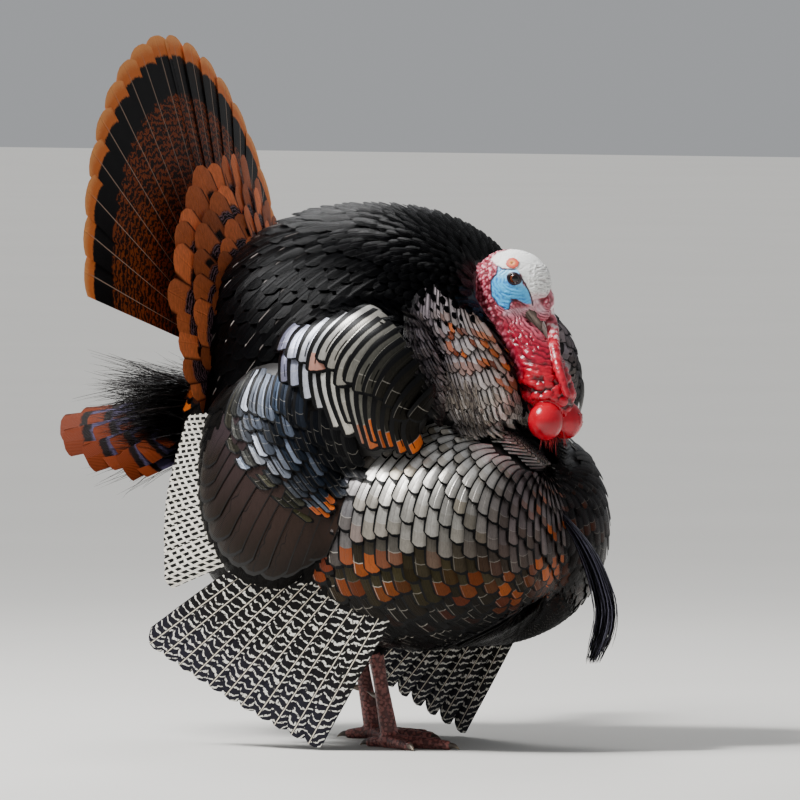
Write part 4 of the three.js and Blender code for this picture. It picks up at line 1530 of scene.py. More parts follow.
def make_vent():
    """Rows of coverts below the tail."""
    coat = Coat("vent_feathers", paint_vent(), "tail_feathers", rows=10, columns=6, thick=0.9)
    rng = np.random.default_rng(33)
    for count, scale, lower, tilt in VENT_ROWS:
        shares = (np.arange(count) + 0.5) / count
        spine, normals = vent_spines(shares, scale, lower, tilt)
        coat.place(
            spine, normals, np.full(count, 19.0 * scale), np.ones(count), np.ones((count, 4)),
            marks(count, 1, 0, 0, rng), tip=0.3, power=4.0, arch=0.14, roll=0.1, waist=0.7,
        )
    return coat.make("vent_coverts")


def make_fluff(material):
    """Soft dark hair-like feathers that cover the roots of the under-tail coverts."""
    rng = np.random.default_rng(53)
    coat = Coat("vent_fluff", material, "plumage", rows=5, columns=2, thick=0.4)
    count, samples = 3600, 8
    turn = np.radians(rng.uniform(-75, 75, count))
    root = VENT_ROOT + np.column_stack([
        10 - 60 * rng.random(count) * np.cos(turn), -np.sin(turn) * 110, rng.uniform(-62, 34, count),
    ])
    length = rng.uniform(50, 145, count) * (0.6 + 0.4 * np.cos(turn))
    rise = 0.05 + 0.17 * rng.normal(size=count)
    way = unit(np.column_stack([-np.cos(turn) - 0.3, -np.sin(turn) * 0.5, rise]))
    out = np.linspace(0, 1, samples + 1)[None, :, None]
    spine = root[:, None] + way[:, None] * length[:, None, None] * out
    spine = spine + rng.normal(0, 1, (count, 1, 3)) * (6, 8, 10) * out**2 + vec(0, 0, -8) * out**2
    normals = np.tile(vec(0, 0, 1), (count, samples + 1, 1)) + rng.normal(0, 0.4, (count, 1, 3))
    colour = np.where(rng.random(count)[:, None] < 0.8, flat_colour("#070505"), flat_colour("#1c1716"))
    tint = with_fourth(colour, 1)
    coat.place(
        spine, unit(normals), np.full(count, 0.95), np.ones(count), tint, marks(count, 0, 0, 0, rng),
        tip=2.0, power=1.2, profile=lambda v: 1 - 0.85 * v,
    )
    return coat.make()


# ------------------------------------------------------------------ skin
COAT_DEPTH = 9.0
RUFF_DEPTH, SCAPULAR_DEPTH, COVERT_DEPTH, THIGH_DEPTH = 26.0, 16, 12, 6
SKIN_CELL = 6.0
HEAD_CELL = 3.0
LID_THICKNESS = 0.9
LIDS = [Ball(on_head(EYE_AT * (1, side, 1)), [EYE_RADIUS + LID_THICKNESS] * 3) for side in SIDES]
EYE_OPENING = (6.3, 5.2)
EYE_TILT = 24


def head_form(p):
    q = in_head(p)
    taper = np.where(q[:, 0] > 0, 1 - HEAD_TAPER * (q[:, 0] / HEAD_HALF[0]) ** 2, 1.0)
    half = np.tile(HEAD_HALF, (len(q), 1))
    half[:, 1] *= taper
    scaled = q / np.maximum(half, 4.0)
    r = np.linalg.norm(scaled, axis=1)
    return (r - 1) * r / np.maximum(np.linalg.norm(scaled / half, axis=1), 1e-6)


CERE_ROUTE = [(28, 0, -10), (36, 0, -24), (37.5, 0, -38)]
CERE = Tube([on_head(vec(*spot)) for spot in CERE_ROUTE], [14, 10.5, 6.5], steps=8)
SHOWN_BILL_ROOT = vec(6.5, 0, -20)
SHOWN_BILL_LENGTH = 47


def bare_form(p):
    """Head, neck, snood, wattles and the legs below the feathers."""
    face = union([head_form(p), NECK(p), CERE(p)], 10)
    face = union([face, *(w(p) for w in WATTLES)], 5)
    face = union([face, *(lid(p) for lid in LIDS)], 3)
    face = union([face, SNOOD(p)], 2)
    legs = union([t(p) for t in (*SHANKS, *TOE_TUBES)], 4)
    return np.minimum(face, legs)


# The outline in the picture where no feathers lie: from the crown down the neck's rear edge to the wattles.
NECK_CLEAR = [
    (494, 240), (485, 253), (478, 266), (475, 280), (475, 299), (485, 315), (496, 329), (505, 346),
    (514, 364), (525, 385), (530, 408), (546, 424), (640, 430), (640, 240),
]


def cut_for_neck(p, far):
    """A form that is cut back where the camera sees the bare neck and head."""
    near = (p[:, 0] > 130) & (p[:, 2] > 340)
    cut = far.copy()
    if near.any():
        cut[near] = np.maximum(far[near], -PHOTO_MM * from_edge(in_picture(p[near]), NECK_CLEAR))
    return cut


def ruffed(p):
    """What the feathers of the ruff cover."""
    return cut_for_neck(p, mantle(p))


def feathered_form(p):
    """The body below its feathers, which stand out furthest at the ruff and the shoulders."""
    depths = (
        (RUFF, RUFF_DEPTH), (SCAPULARS, SCAPULAR_DEPTH), (COVERTS, COVERT_DEPTH), (THIGHS, THIGH_DEPTH),
    )
    parts = [form(p) + depth for forms, depth in depths for form in forms]
    return cut_for_neck(p, union([trunk(p) + COAT_DEPTH, *parts], 16))


def skin_form(p):
    """The whole skin: the feathered body less the coat's depth, with the bare parts."""
    return union([feathered_form(p), bare_form(p)], 4)


def eye_ring(q):
    """How far points of the head's frame are from the eye's middle, where 1 is the edge of the lids."""
    x, z = q[:, 0] - EYE_AT[0], q[:, 2] - EYE_AT[2]
    c, s = math.cos(math.radians(EYE_TILT)), math.sin(math.radians(EYE_TILT))
    along, across = (x * c - z * s) / EYE_OPENING[0], (x * s + z * c) / EYE_OPENING[1]
    return (np.abs(along) ** 1.8 + np.abs(across) ** 1.8) ** (1 / 1.8)


# Shapes on the side of the head as the camera sees them, in millimetres to the right of and above its middle.
CHEEK = [
    (-17.4, 17.8), (-19.8, 9), (-25.9, 1.8), (-26.2, -7.1), (-24.6, -17.5), (-19, -26.4), (-9.3, -33.1),
    (-5, -32.8), (-2.1, -23.9), (3.5, -21.5), (14, -25.5), (22, -26.5), (18.8, -11.9), (11.6, -2.2),
    (10, 3.4), (7.5, 10.6), (5.1, 15.1), (-2.1, 14.1), (-12.5, 15.1),
]
CROWN = [
    (-26.2, 26.7), (-20.6, 33.1), (-8.5, 37), (0, 39), (6, 60), (70, 60), (70, -12), (44.5, -12),
    (39.7, -17.5), (30, -19.9), (22.8, -23.1), (18.8, -10.3), (13.2, -0.6), (9, 8), (5.1, 14),
    (-3.7, 15.1), (-13.3, 16.2), (-17.4, 19.4), (-23.8, 22.7),
]
BROW_CREASE = [(8, 8), (12.5, 0), (18.8, -11), (21.8, -19), (23.5, -27.5)]
GAPE_CREASE = [(-2, -21.5), (3, -22.2), (9, -24.6), (14, -28)]
BUTTON_AT, BUTTON_HALF = (-0.8, 21.5), (7.6, 6.2)


def seen(p):
    """Where the camera sees points of the head and neck, with the left side mirrored to the right."""
    q = in_head(p) * (1, -1, 1)
    q[:, 1] = -np.abs(q[:, 1])
    head = on_head(q)
    body = p.copy()
    body[:, 1] = -np.abs(body[:, 1])
    at = lerp(body, head, ramp(p[:, 2], 500, 535)[:, None]) - HEAD_AT
    return np.stack([at @ LOOK_RIGHT, at @ LOOK_UP], axis=1)


def from_line(flat, line, closed=False):
    """The distance of flat points from a line of straight parts."""
    ends = np.array(line, float)
    others = np.roll(ends, -1, axis=0) if closed else ends[1:]
    best = np.full(len(flat), 1e3)
    for a, b in zip(ends, others):
        t = np.clip(((flat - a) @ (b - a)) / ((b - a) @ (b - a)), 0, 1)
        best = np.minimum(best, np.linalg.norm(flat - a - t[:, None] * (b - a), axis=1))
    return best


def from_edge(flat, corners):
    """The distance of flat points from an outline, below 0 inside it."""
    ends = np.array(corners, float)
    inside = np.zeros(len(flat), bool)
    for a, b in zip(ends, np.roll(ends, -1, axis=0)):
        between = (a[1] > flat[:, 1]) != (b[1] > flat[:, 1])
        rise = b[1] - a[1] if b[1] != a[1] else 1e-9
        inside ^= between & (flat[:, 0] < (b[0] - a[0]) * (flat[:, 1] - a[1]) / rise + a[0])
    return from_line(flat, corners, closed=True) * np.where(inside, -1, 1)


def skin_looks(p):
    """How far the bare skin is raised, its colour and its gloss at each point."""
    count = len(p)
    flat = seen(p)
    du, dw = flat[:, 0], flat[:, 1]
    q = in_head(p)
    snood_far, snood_along = SNOOD.nearest(p)
    on_snood = ramp(snood_far, 2.2, 0.4)
    wattle_far = np.minimum(*(w(p) for w in WATTLES))
    on_wattle = ramp(wattle_far, 4.0, 1.4) * (1 - on_snood)
    wobble = noise(p, 5, 3) - 0.5
    fine = noise(p, 1.8, 4) - 0.5
    crown_far = from_edge(flat, CROWN) + wobble * 2.5
    cheek_far = from_edge(flat, CHEEK) + wobble * 1.5
    on_head_part = ramp(dw, -46, -30) * (1 - on_snood)
    crown = ramp(crown_far, 0.8, -0.8) * on_head_part
    cheek = ramp(cheek_far, 0.7, -0.7) * on_head_part * (1 - crown)
    neck_down = ramp(dw, -30, -120)

    # Nodules of the nape and neck grow from fine ones behind the head to large ones at its foot.
    small, small_label = pebbles(p, 4.6, 5)
    middle, _ = pebbles(p, 6.5, 6)
    large, large_label = pebbles(p * (1, 1, 1.35), 10.5, 7)
    fold_steep = lerp(1.0, 0.15, ramp(dw, -45, -120))
    across_folds = dw + fold_steep * du + wobble * 5 + (noise(p, 14, 9) - 0.5) * 6
    folds = np.abs(np.sin(across_folds * np.pi / lerp(4.6, 8.5, neck_down)))
    throat = ramp(du + dw * 0.42, -38, -28) * ramp(dw, -24, -34)
    knobs = ramp(dw, -96, -122)
    nape = (1 - crown) * (1 - cheek) * (1 - throat) * (1 - knobs)
    height = nape * (1.5 * np.sqrt(np.clip(1 - small / 0.62, 0, 1)) + 0.35 * fine)
    height += throat * (1 - knobs) * (1.9 * folds + 0.6 * np.clip(1 - middle / 0.7, 0, 1))
    height += knobs * (4.2 * np.sqrt(np.clip(1 - (large / 0.72) ** 2, 0, 1)) + 0.7 * folds)

    # The crown is smooth behind and wrinkled in front; the cheek has curved wrinkles below the eye.
    front = ramp(du, 14, 26) * ramp(dw, 24, 16)
    ridges = 1 - np.abs(noise(p * (1, 1, 1.7), 4.2, 12) - 0.5) * 3
    cracks = np.clip(1 - np.abs(noise(p, 9, 13) - 0.5) * 14, 0, 1)
    height += crown * (front * 1.4 * np.clip(ridges, 0, 1) - 0.45 * cracks * (1 - front) + 0.15 * fine)
    from_eye = np.hypot(du - 2.7, (dw - 3.7))
    lower_rear = ramp(-du - dw * 0.7, -6, 4)
    curls = np.sin(from_eye * 2 * np.pi / 4.6 + wobble * 5.5 + (noise(p, 16, 25) - 0.5) * 9)
    height += cheek * (0.3 * curls * ramp(from_eye, 8, 12) * (0.3 + 0.7 * lower_rear) + 0.3 * fine)
    cheek_rim = np.clip(1 - np.abs(cheek_far) / 1.5, 0, 1) * on_head_part * ramp(du, 8, -2)
    crease = np.clip(1 - from_line(flat, BROW_CREASE) / 1.5, 0, 1) * on_head_part
    gape = np.clip(1 - from_line(flat, GAPE_CREASE) / 1.7, 0, 1) * on_head_part
    height -= 0.9 * crease + 0.7 * cheek_rim + 1.2 * gape

    # The button above the right eye.
    off_button = np.hypot((du - BUTTON_AT[0]) / BUTTON_HALF[0], (dw - BUTTON_AT[1]) / BUTTON_HALF[1])
    off_button = np.where(q[:, 1] < 0, off_button, 9.0)
    button = ramp(off_button + fine * 0.2, 1.06, 0.94)
    height = lerp(height, 1.5 - 0.9 * ramp(off_button, 0.35, 0.05), button)

    # The snood and the wattles.
    streaks = noise(p * (1, 1, 0.45), 3.2, 15)
    height = lerp(height, 1.1 * (streaks - 0.4) + 0.5 * fine, on_snood)
    height = lerp(height, 0.25 * (noise(p, 9, 16) - 0.5), on_wattle)

    colour = np.tile(flat_colour("#86182b"), (count, 1))
    # speck: white on each nodule's crown, partly the skin's pale dots and partly painted highlight.
    speck_and_highlight = np.clip(1 - small / 0.40, 0, 1)
    nape_pale = ramp(noise(p, 13, 17) + 0.25 * (small_label - 0.5), 0.25, 0.7) * ramp(dw, -70, -20)
    colour = painted(
        colour,
        ("#c2566b", nape * ramp(small, 0.6, 0.35)),
        ("#f0dadd", nape * speck_and_highlight * (0.35 + 0.65 * nape_pale) * ramp(dw, -90, -40)),
        # Painted shade: darker between the nape's nodules.
        ("#5c0f1e", nape * ramp(small, 0.55, 0.72) * 0.8),
    )
    red = painted(
        "#8e0826",
        ("#c9707f", ramp(dw + du * 0.55, -60, -36) * (0.25 + 0.75 * folds)),
        ("#a80420", ramp(dw, -88, -112)),
        # Painted shade: dark in the troughs of the folds and between the large nodules.
        ("#38030b", np.clip(1.1 - folds * 1.7, 0, 1) * 0.9 * (1 - knobs)),
        ("#3a0207", knobs * ramp(large, 0.52, 0.72) * 0.95),
        ("#c40e28", knobs * (1 - ramp(large, 0.1, 0.35)) * (0.3 + 0.5 * large_label)),
    )
    colour = lerp(colour, red, np.clip(throat + knobs, 0, 1)[:, None])
    bill_skin = ramp(from_line(flat, [(24, -24), (30, -34), (6, -38), (-6, -40)]), 9, 4) * on_head_part
    bill_skin *= (1 - crown) * (1 - cheek)
    colour = painted(colour, ("#d9b9c2", bill_skin * (0.5 + 0.5 * np.clip(1 - middle, 0, 1))))

    white = painted(
        "#e4e4e1",
        # Painted shade: grey in the troughs of the wrinkles at the front and along the cracks.
        ("#b9b4b3", front * ramp(ridges, 0.6, 0.0) * 0.8 + cracks * 0.22 * (1 - front)),
        ("#d8a3aa", ramp(dw, -10, -18) * 0.6 + ramp(du, -10, -26) * 0.35),
    )
    colour = lerp(colour, white, crown[:, None])
    # Painted highlight: lighter blue towards the top and front of the cheek.
    blue = painted("#3fb4f0", ("#8edaff", ramp(dw + du * 0.4, -8, 6) * 0.75))
    broken = ramp(noise(p, 6, 26), 0.3, 0.6)
    # grooves: painted shade, darker blue in the troughs of the cheek's curved wrinkles.
    grooves = ramp(curls, 0.0, -0.9) * (0.15 + 0.85 * lower_rear) * ramp(from_eye, 8, 13) * broken
    blue = painted(
        blue,
        ("#2384cf", grooves * 0.95),
        ("#1d5fa8", ramp(noise(p, 4, 19), 0.66, 0.8) * lower_rear * 0.6),
    )
    colour = lerp(colour, blue, cheek[:, None])
    # Painted shade in the grooves: dark along the cheek's rim and the brow crease, and dark red in the gape.
    colour = painted(
        colour,
        ("#15233f", np.clip(cheek_rim * 1.3, 0, 1) * 0.85),
        ("#1a1420", np.clip(crease * 1.3, 0, 1)),
        ("#4b1420", np.clip(gape * 1.2, 0, 1)),
    )
    disc = painted(
        "#c8452c",
        ("#dd8a45", ramp(off_button, 0.7, 0.3)),
        ("#5a2415", ramp(off_button, 0.2, 0.08)),
    )
    colour = lerp(colour, disc, button[:, None])

    hanging = painted(
        "#a91428",
        ("#c47886", ramp(snood_along, 0.55, 0.12)),
        ("#f2e6e6", ramp(streaks, 0.52, 0.7) * ramp(snood_along, 0.8, 0.2)),
        # Painted shade: dark red in the low grooves between the snood's streaks.
        ("#5e0916", ramp(streaks, 0.45, 0.25) * 0.8),
    )
    colour = lerp(colour, hanging, on_snood[:, None])
    bulb = painted("#b4001e", ("#8a0014", ramp(noise(p, 16, 21), 0.45, 0.75) * 0.6))
    colour = lerp(colour, bulb, on_wattle[:, None])

    # The lids' edges are dark, and inside them the skin drops behind the eye.
    side_on = ramp(np.abs(q[:, 1]), 12, 18)
    ring = np.where(side_on > 0, eye_ring(q), 9.0)
    height = lerp(height, 0.35 * bell(ring, 1.22, 0.25), ramp(ring, 1.9, 1.5) * side_on)
    height = np.where(ring < 1.0, -4.0, height)
    rim = ramp(ring, 1.4, 1.28) * side_on
    colour = painted(
        colour,
        ("#3a1a28", ramp(ring, 1.6, 1.46) * side_on),
        ("#150a10", rim),
    )

    gloss = 0.45 + 0.35 * np.clip(throat + knobs, 0, 1) + 0.3 * on_wattle
    gloss = np.where(crown > 0.5, 0.3, gloss)
    gloss = np.where(rim > 0.5, 0.8, gloss)
    return height, colour, np.clip(gloss, 0, 1)


def paint_skin():
    """Bare skin: its colours are on the mesh, with fine grain, and scales on the legs."""
    paint = Paint("bird_skin", 0.45)
    tint, _, _, _, gloss = paint.colours("tint")
    grain = paint.noise(0.0014, 3.0)
    colour = paint.dimmed(tint, grain * 0.5 + 0.78)
    scaly = paint.colours("mark")[1]
    scales = paint.pebbles(0.0042)
    groove = scales.above(0.42, 0.62) * scaly
    colour = paint.mix(groove * 0.75, colour, "#3a1c1c")
    height = grain * 0.35 - groove * 1.6
    paint.bump(height, 0.0007, 0.9)
    return paint.finish(colour, Roughness=0.66 - gloss * 0.5)


def split_faces(mesh, wanted, cuts=1):
    """Splits the faces whose middles in the bird's frame are wanted."""
    made = bmesh.new()
    made.from_mesh(mesh)
    made.faces.ensure_lookup_table()
    centres = np.array([face.calc_center_median() for face in made.faces]) / MM - SHIFT
    chosen = np.flatnonzero(wanted(centres))
    edges = {edge for i in chosen for edge in made.faces[i].edges}
    edges = sorted(edges, key=lambda edge: edge.index)
    bmesh.ops.subdivide_edges(made, edges=edges, cuts=cuts, use_grid_fill=True)
    made.to_mesh(mesh)
    made.free()


def mesh_points(mesh):
    flat = np.empty(len(mesh.vertices) * 3, np.float32)
    mesh.vertices.foreach_get("co", flat)
    return flat.reshape(-1, 3).astype(float) / MM - SHIFT


def put_points(mesh, points):
    mesh.vertices.foreach_set("co", ((points + SHIFT) * MM).astype(np.float32).ravel())
    mesh.update()


def on_bare_head(p):
    return (bare_form(p) < feathered_form(p) + 3) & (p[:, 2] > 352) & (p[:, 0] > 150)


def on_bare_leg(p):
    return (bare_form(p) < feathered_form(p)) & (p[:, 2] < 170)


def on_face(p):
    q = in_head(p)
    return (q[:, 0] > -34) & (q[:, 2] > -44) & (p[:, 2] > 505) & (SNOOD(p) > 1)


def make_skin():
    """One closed skin, finer on the head and neck and on the legs."""
    axes = [
        finer_within(-250, 346, SKIN_CELL, 172, 316, HEAD_CELL),
        finer_within(-225, 225, SKIN_CELL, -54, 54, HEAD_CELL),
        finer_within(-4, 608, SKIN_CELL, 362, 602, HEAD_CELL),
    ]
    corners, faces = net_over(skin_form, axes)
    corners = onto(skin_form, corners, times=2)
    piece = make_object("bird_skin", corners, faces, paint_skin())
    mesh = piece.data
    split_faces(mesh, on_bare_head)
    split_faces(mesh, on_bare_leg)
    put_points(mesh, onto(skin_form, mesh_points(mesh), times=2))
    split_faces(mesh, on_face)
    points = onto(skin_form, mesh_points(mesh), times=2)
    points[:, 2] = np.maximum(points[:, 2], 0)
    normals = gradient(skin_form, points)
    head = on_bare_head(points)
    leg = on_bare_leg(points)
    colour = np.tile(flat_colour("#0e0b0a"), (len(points), 1))
    gloss = np.full(len(points), 0.3)
    height = np.zeros(len(points))
    height[head], colour[head], gloss[head] = skin_looks(points[head])
    blend = ramp(feathered_form(points[head]) - bare_form(points[head]), -3, 3)
    height[head] *= blend
    shin = noise(points[leg], 26, 23)
    colour[leg] = painted("#a4635c", ("#7b4a45", ramp(shin, 0.4, 0.7)))
    gloss[leg] = 0.5
    put_points(mesh, points + normals * height[:, None])
    set_colours(mesh, "tint", with_fourth(colour, gloss))
    set_colours(mesh, "mark", np.column_stack([leg, leg, leg, leg]).astype(float))
    mesh.polygons.foreach_set("use_smooth", np.ones(len(mesh.polygons), bool))
    paired = [f"{part}_{name}" for part in ("wattle", "shank", "foot") for name in SIDE_NAMES.values()]
    return finish_piece(piece, "skin", "head", "neck", "snood", *paired)


# ------------------------------------------------------------------ eyes, bill, claws and spurs
def make_hard_piece(name, points, faces, material, colour, slot, node):
    piece = make_object(name, points, faces, material)
    set_colours(piece.data, "tint", with_fourth(colour, 1))
    return finish_piece(piece, slot, node)


def ball_mesh(at, radius, axis, around=40, rings=28):
    """A ball with its pole along an axis, and the angle of each point from that pole in degrees."""
    axis = unit(axis)
    first = unit(np.cross(axis, vec(0, 0, 1)))
    second = np.cross(axis, first)
    turn = np.linspace(0, 2 * np.pi, around, endpoint=False)
    fall = np.linspace(0, np.pi, rings + 1)[1:-1]
    ring = np.cos(turn)[:, None] * first + np.sin(turn)[:, None] * second
    body = np.sin(fall)[:, None, None] * ring[None] + np.cos(fall)[:, None, None] * axis
    points = np.vstack([axis[None], body.reshape(-1, 3), -axis[None]])
    angle = np.degrees(np.concatenate([[0], np.repeat(fall, around), [np.pi]]))
    return at + points * radius, rings_faces(rings - 1, around), angle


def rings_faces(rings, around):
    """Three-cornered faces of rings of points between two poles."""
    faces = []
    last = 1 + rings * around
    for j in range(around):
        k = (j + 1) % around
        faces.append((0, 1 + j, 1 + k))
        for i in range(rings - 1):
            a, b = 1 + i * around, 1 + (i + 1) * around
            faces.append((a + j, b + j, b + k))
            faces.append((a + j, b + k, a + k))
        faces.append((last, last - around + k, last - around + j))
    return np.array(faces)


def make_eyes():
    """Both eyes: a dark brown iris round a black pupil, under a wet gloss."""
    paint = Paint("eye_wet", 0.06, specular=0.4)
    tint = paint.colours("tint")[0]
    fibres = paint.noise(0.0009, 2.0)
    colour = paint.dimmed(tint, fibres * 0.8 + 0.6)
    paint.shader.inputs["Coat Weight"].default_value = 0.35
    paint.shader.inputs["Coat Roughness"].default_value = 0.03
    material = paint.finish(colour)
    for side in SIDES:
        name = SIDE_NAMES[side]
        axis = HEAD_MATRIX @ vec(0.3, side, 0.02)
        at = on_head(EYE_AT * (1, side, 1))
        points, faces, angle = ball_mesh(at, EYE_RADIUS, axis)
        colour = painted(
            "#1a0d09",
            ("#5a2812", ramp(angle, 50, 44)),
            ("#2c1209", ramp(angle, 34, 28)),
            ("#020202", ramp(angle, 28, 26)),
        )
        make_hard_piece(f"eyeball_{name}", points, faces, material, colour, "eye", f"eye_{name}")


def paint_horn():
    paint = Paint("horn_satin", 0.38)
    tint = paint.colours("tint")[0]
    streak = paint.noise(0.0022, 3.0, stretch=(0.5, 1, 0.4))
    colour = paint.dimmed(tint, streak * 0.9 + 0.55)
    paint.bump(streak, 0.0003, 0.5)
    return paint.finish(colour)


def tube_rings(line, radii, around, flat=1.0, blunt=True):
    """Rings of points round a line, with a pole at each end."""
    line, radii = np.array(line, float), np.array(radii, float)
    way = unit(np.gradient(line, axis=0))
    side = unit(np.cross(way, np.tile(vec(0, 0, 1), (len(line), 1)) + way[:, ::-1] * 0.01))
    up = np.cross(side, way)
    turn = np.linspace(0, 2 * np.pi, around, endpoint=False)
    ring = side[:, None] * np.cos(turn)[None, :, None] * flat + up[:, None] * np.sin(turn)[None, :, None]
    body = line[:, None] + ring * radii[:, None, None]
    past = 0.6 if blunt else 0.2
    start = line[0] - way[0] * radii[0] * past
    end = line[-1] + way[-1] * radii[-1] * past
    return np.vstack([start[None], body.reshape(-1, 3), end[None]]), rings_faces(len(line), around)


def make_claws(material):
    """A claw on each toe and a spur on each shank."""
    steps, around = 14, 12
    share = np.linspace(0, 1, steps + 1)
    for side in SIDES:
        name = SIDE_NAMES[side]
        for toe in TOES:
            start = toe_tip(side, toe, -4)
            end = toe_tip(side, toe, CLAW_LENGTH) * (1, 1, 0) + (0, 0, 1.2)
            arch = lerp(toe_tip(side, toe, 1.9), end, 0.5) + (0, 0, 1.6)
            line = smooth_route([start, toe_tip(side, toe, 1.9), arch, end], steps)
            radii = np.interp(share, [0, 0.25, 0.6, 1], [3.6, 4.3, 3.2, 0.5])
            points, faces = tube_rings(line, radii, around, blunt=False)
            points[:, 2] = np.maximum(points[:, 2], 0)
            along = np.concatenate([share[:1], np.repeat(share, around), share[-1:]])
            colour = painted("#4a4038", ("#8a7b68", ramp(along, 0.6, 1.0)))
            make_hard_piece(
                f"claw_horn_{name}_{toe}", points, faces, material, colour, "horn", f"claw_{name}_{toe}",
            )
        foot, hock = foot_and_hock(side)
        start = lerp(hock, foot + (0, 0, 15), 0.66)
        end = start + (-SPUR_LENGTH, -side * 5, 5)
        arch = lerp(start, end, 0.55) + (0, 0, -2)
        line = smooth_route([start, arch, end], steps)
        radii = np.interp(share, [0, 0.3, 1], [5.4, 4.4, 0.5])
        points, faces = tube_rings(line, radii, 14, blunt=False)
        colour = np.tile(flat_colour("#5a4a3d"), (len(points), 1))
        make_hard_piece(f"spur_horn_{name}", points, faces, material, colour, "horn", f"spur_{name}")


def make_bill(material):
    """The bill: an arched upper half with a nostril and a hooked tip, and a shallow lower half."""
    around, rings = 36, 30
    for upper, name in ((True, "upper"), (False, "lower")):
        length = SHOWN_BILL_LENGTH if upper else SHOWN_BILL_LENGTH - 4
        share = lerp(0.04, 1.0, np.linspace(0, 1, rings) ** 0.9)
        left = np.sqrt(1 - share**2 * 0.97)
        width = BILL_HALF_WIDTH * left
        x = length * share
        droop = -5 * (x / BILL_LENGTH) ** 3
        turn = np.linspace(0, 2 * np.pi, around, endpoint=False)
        c, s = np.cos(turn), np.sin(turn)
        if upper:
            low, high = 0.3, 12 * left + 0.6
            rise = np.where(s > 0, np.abs(s) ** 0.9, -0.06 * np.abs(s))
        else:
            low, high = -0.3, -7 * left - 0.7
            rise = np.where(s < 0, np.abs(s) ** 0.8, -0.04 * np.abs(s))
        y = np.sign(c) * np.abs(c) ** 0.85 * width[:, None]
        z = droop[:, None] + low + (high - low)[:, None] * rise[None]
        local = np.stack([np.broadcast_to(x[:, None], y.shape), y, z], axis=-1).reshape(-1, 3)
        nostril = np.zeros(len(local))
        if upper:
            off = np.hypot((local[:, 0] - 17) / 5.0, (local[:, 2] - 6.2) / 1.7)
            nostril = ramp(off, 1.15, 0.7)
            local[:, 1] -= np.sign(local[:, 1]) * nostril * 2.2
        start = vec(x[0] - 2, 0, droop[0] + (low + high[0]) / 2)
        end = vec(x[-1] + 0.6, 0, droop[-1] + (low + high[-1]) / 2)
        points = np.vstack([start, local, end])
        nostril = np.concatenate([[0], nostril, [0]])
        at = on_head(points @ turned("Y", BILL_PITCH).T + SHOWN_BILL_ROOT)
        ridge = ramp(points[:, 2] - 0.6, 5, 10) if upper else 0 * nostril
        colour = painted(
            "#665a50",
            ("#2f2826", ridge),
            ("#a3978a", ramp(np.abs(points[:, 2] - 2.2), 1.8, 0.6) * 0.6),
            ("#5b5149", ramp(points[:, 0], 34, 48) * 0.6),
            # Painted shade: near-black in the nostril's hollow.
            ("#0c0706", nostril),
        )
        make_hard_piece(
            f"bill_horn_{name}", at, rings_faces(rings, around), material, colour, "horn", f"bill_{name}",
        )


# The shape of hair-like feathers, which taper to a point.
HAIR = {"tip": 2.0, "power": 1.2, "profile": lambda v: 1 - 0.8 * v**2}


def paint_bristle():
    """Hair-like feathers: their own colour, darker at the root."""
    paint = Paint("bristle", 0.42, specular=0.15)
    _, v = paint.on_vane()
    tint = paint.colours("tint")[0]
    grain = paint.noise(0.004, 2.0)
    colour = paint.dimmed(tint, grain * 0.6 + v * 0.3 + 0.5)
    return paint.finish(colour)


def make_beard(material):
    """Coarse bristles of many lengths that hang from the chest and curl back at their ends."""
    rng = np.random.default_rng(51)
    coat = Coat("beard_bristles", material, "beard", rows=12, columns=2, thick=0.9)
    count, samples = 300, 16
    line = smooth_route(BEARD_ROUTE, 60)
    ends = 1.04 - 0.5 * rng.random(count) ** 1.7
    share = np.linspace(0, 1, samples + 1)[None] * ends[:, None]
    at = np.clip(share, 0, 1)
    spine = np.stack([np.interp(at, np.linspace(0, 1, 61), line[:, a]) for a in range(3)], axis=-1)
    turn = rng.random(count) * 2 * np.pi
    off = np.sqrt(rng.random(count))
    wide = np.interp(at, np.linspace(0, 1, 6), BEARD_WIDTHS)
    wide = wide * np.interp(at, [0, 0.3, 0.65, 1], [0.8, 1.1, 1.15, 1.7])
    drift = rng.normal(0, 1, (count, 2))
    spine[..., 0] += wide * (off * np.cos(turn))[:, None] * 0.9 + drift[:, :1] * 3.5 * at**2
    spine[..., 1] += wide * (off * np.sin(turn))[:, None] * 0.62 + drift[:, 1:] * 3.5 * at**2
    spine[..., 2] += rng.normal(0, 1.5, count)[:, None] * at
    spine[..., 1] += 1.0 * np.sin(at * 22 + turn[:, None]) * at
    normals = np.tile(vec(1, 0, 0.2), (count, samples + 1, 1))
    colour = np.where(rng.random(count)[:, None] > 0.3, flat_colour("#131216"), flat_colour("#5a5866"))
    tint = with_fourth(colour, 1)
    coat.place(
        spine, unit(normals), np.full(count, 0.95), np.ones(count), tint, marks(count, 0, 0, 0, rng),
        **HAIR,
    )
    return coat.make("beard")


# ------------------------------------------------------------------ scattered feathers
def candidates_on(field, cell=8.0, jitter=3.5, copies=3, seed=5):
    """Many points spread over a form, from which a tract takes its roots."""
    corners, faces = net_over(field, even((-250, -230, 60), (330, 230, 660), cell))
    rng = np.random.default_rng(seed)
    spread = np.vstack([corners, corners[faces].mean(axis=1)])
    spread = np.vstack([spread + rng.normal(0, jitter, spread.shape) for _ in range(copies)])
    return onto(field, spread, times=2)


def back_way(p, _=None):
    """Feathers of the back run to the tail, and down the sides."""
    lean = np.clip(np.abs(p[:, 1]) / 150, 0, 1)
    steep = 0.1 + 1.2 * lean**1.3 + 0.5 * ramp(p[:, 0], -40, -160)
    return np.stack([-np.ones(len(p)), np.sign(p[:, 1]) * 0.25 * lean, -steep], axis=1)


def ruff_way(p, _=None):
    """Feathers of the ruff hang and close in a little on the wattles."""
    return unit(vec(285, 0, 395) - p) * 0.3 + vec(0.1, 0, -0.9)


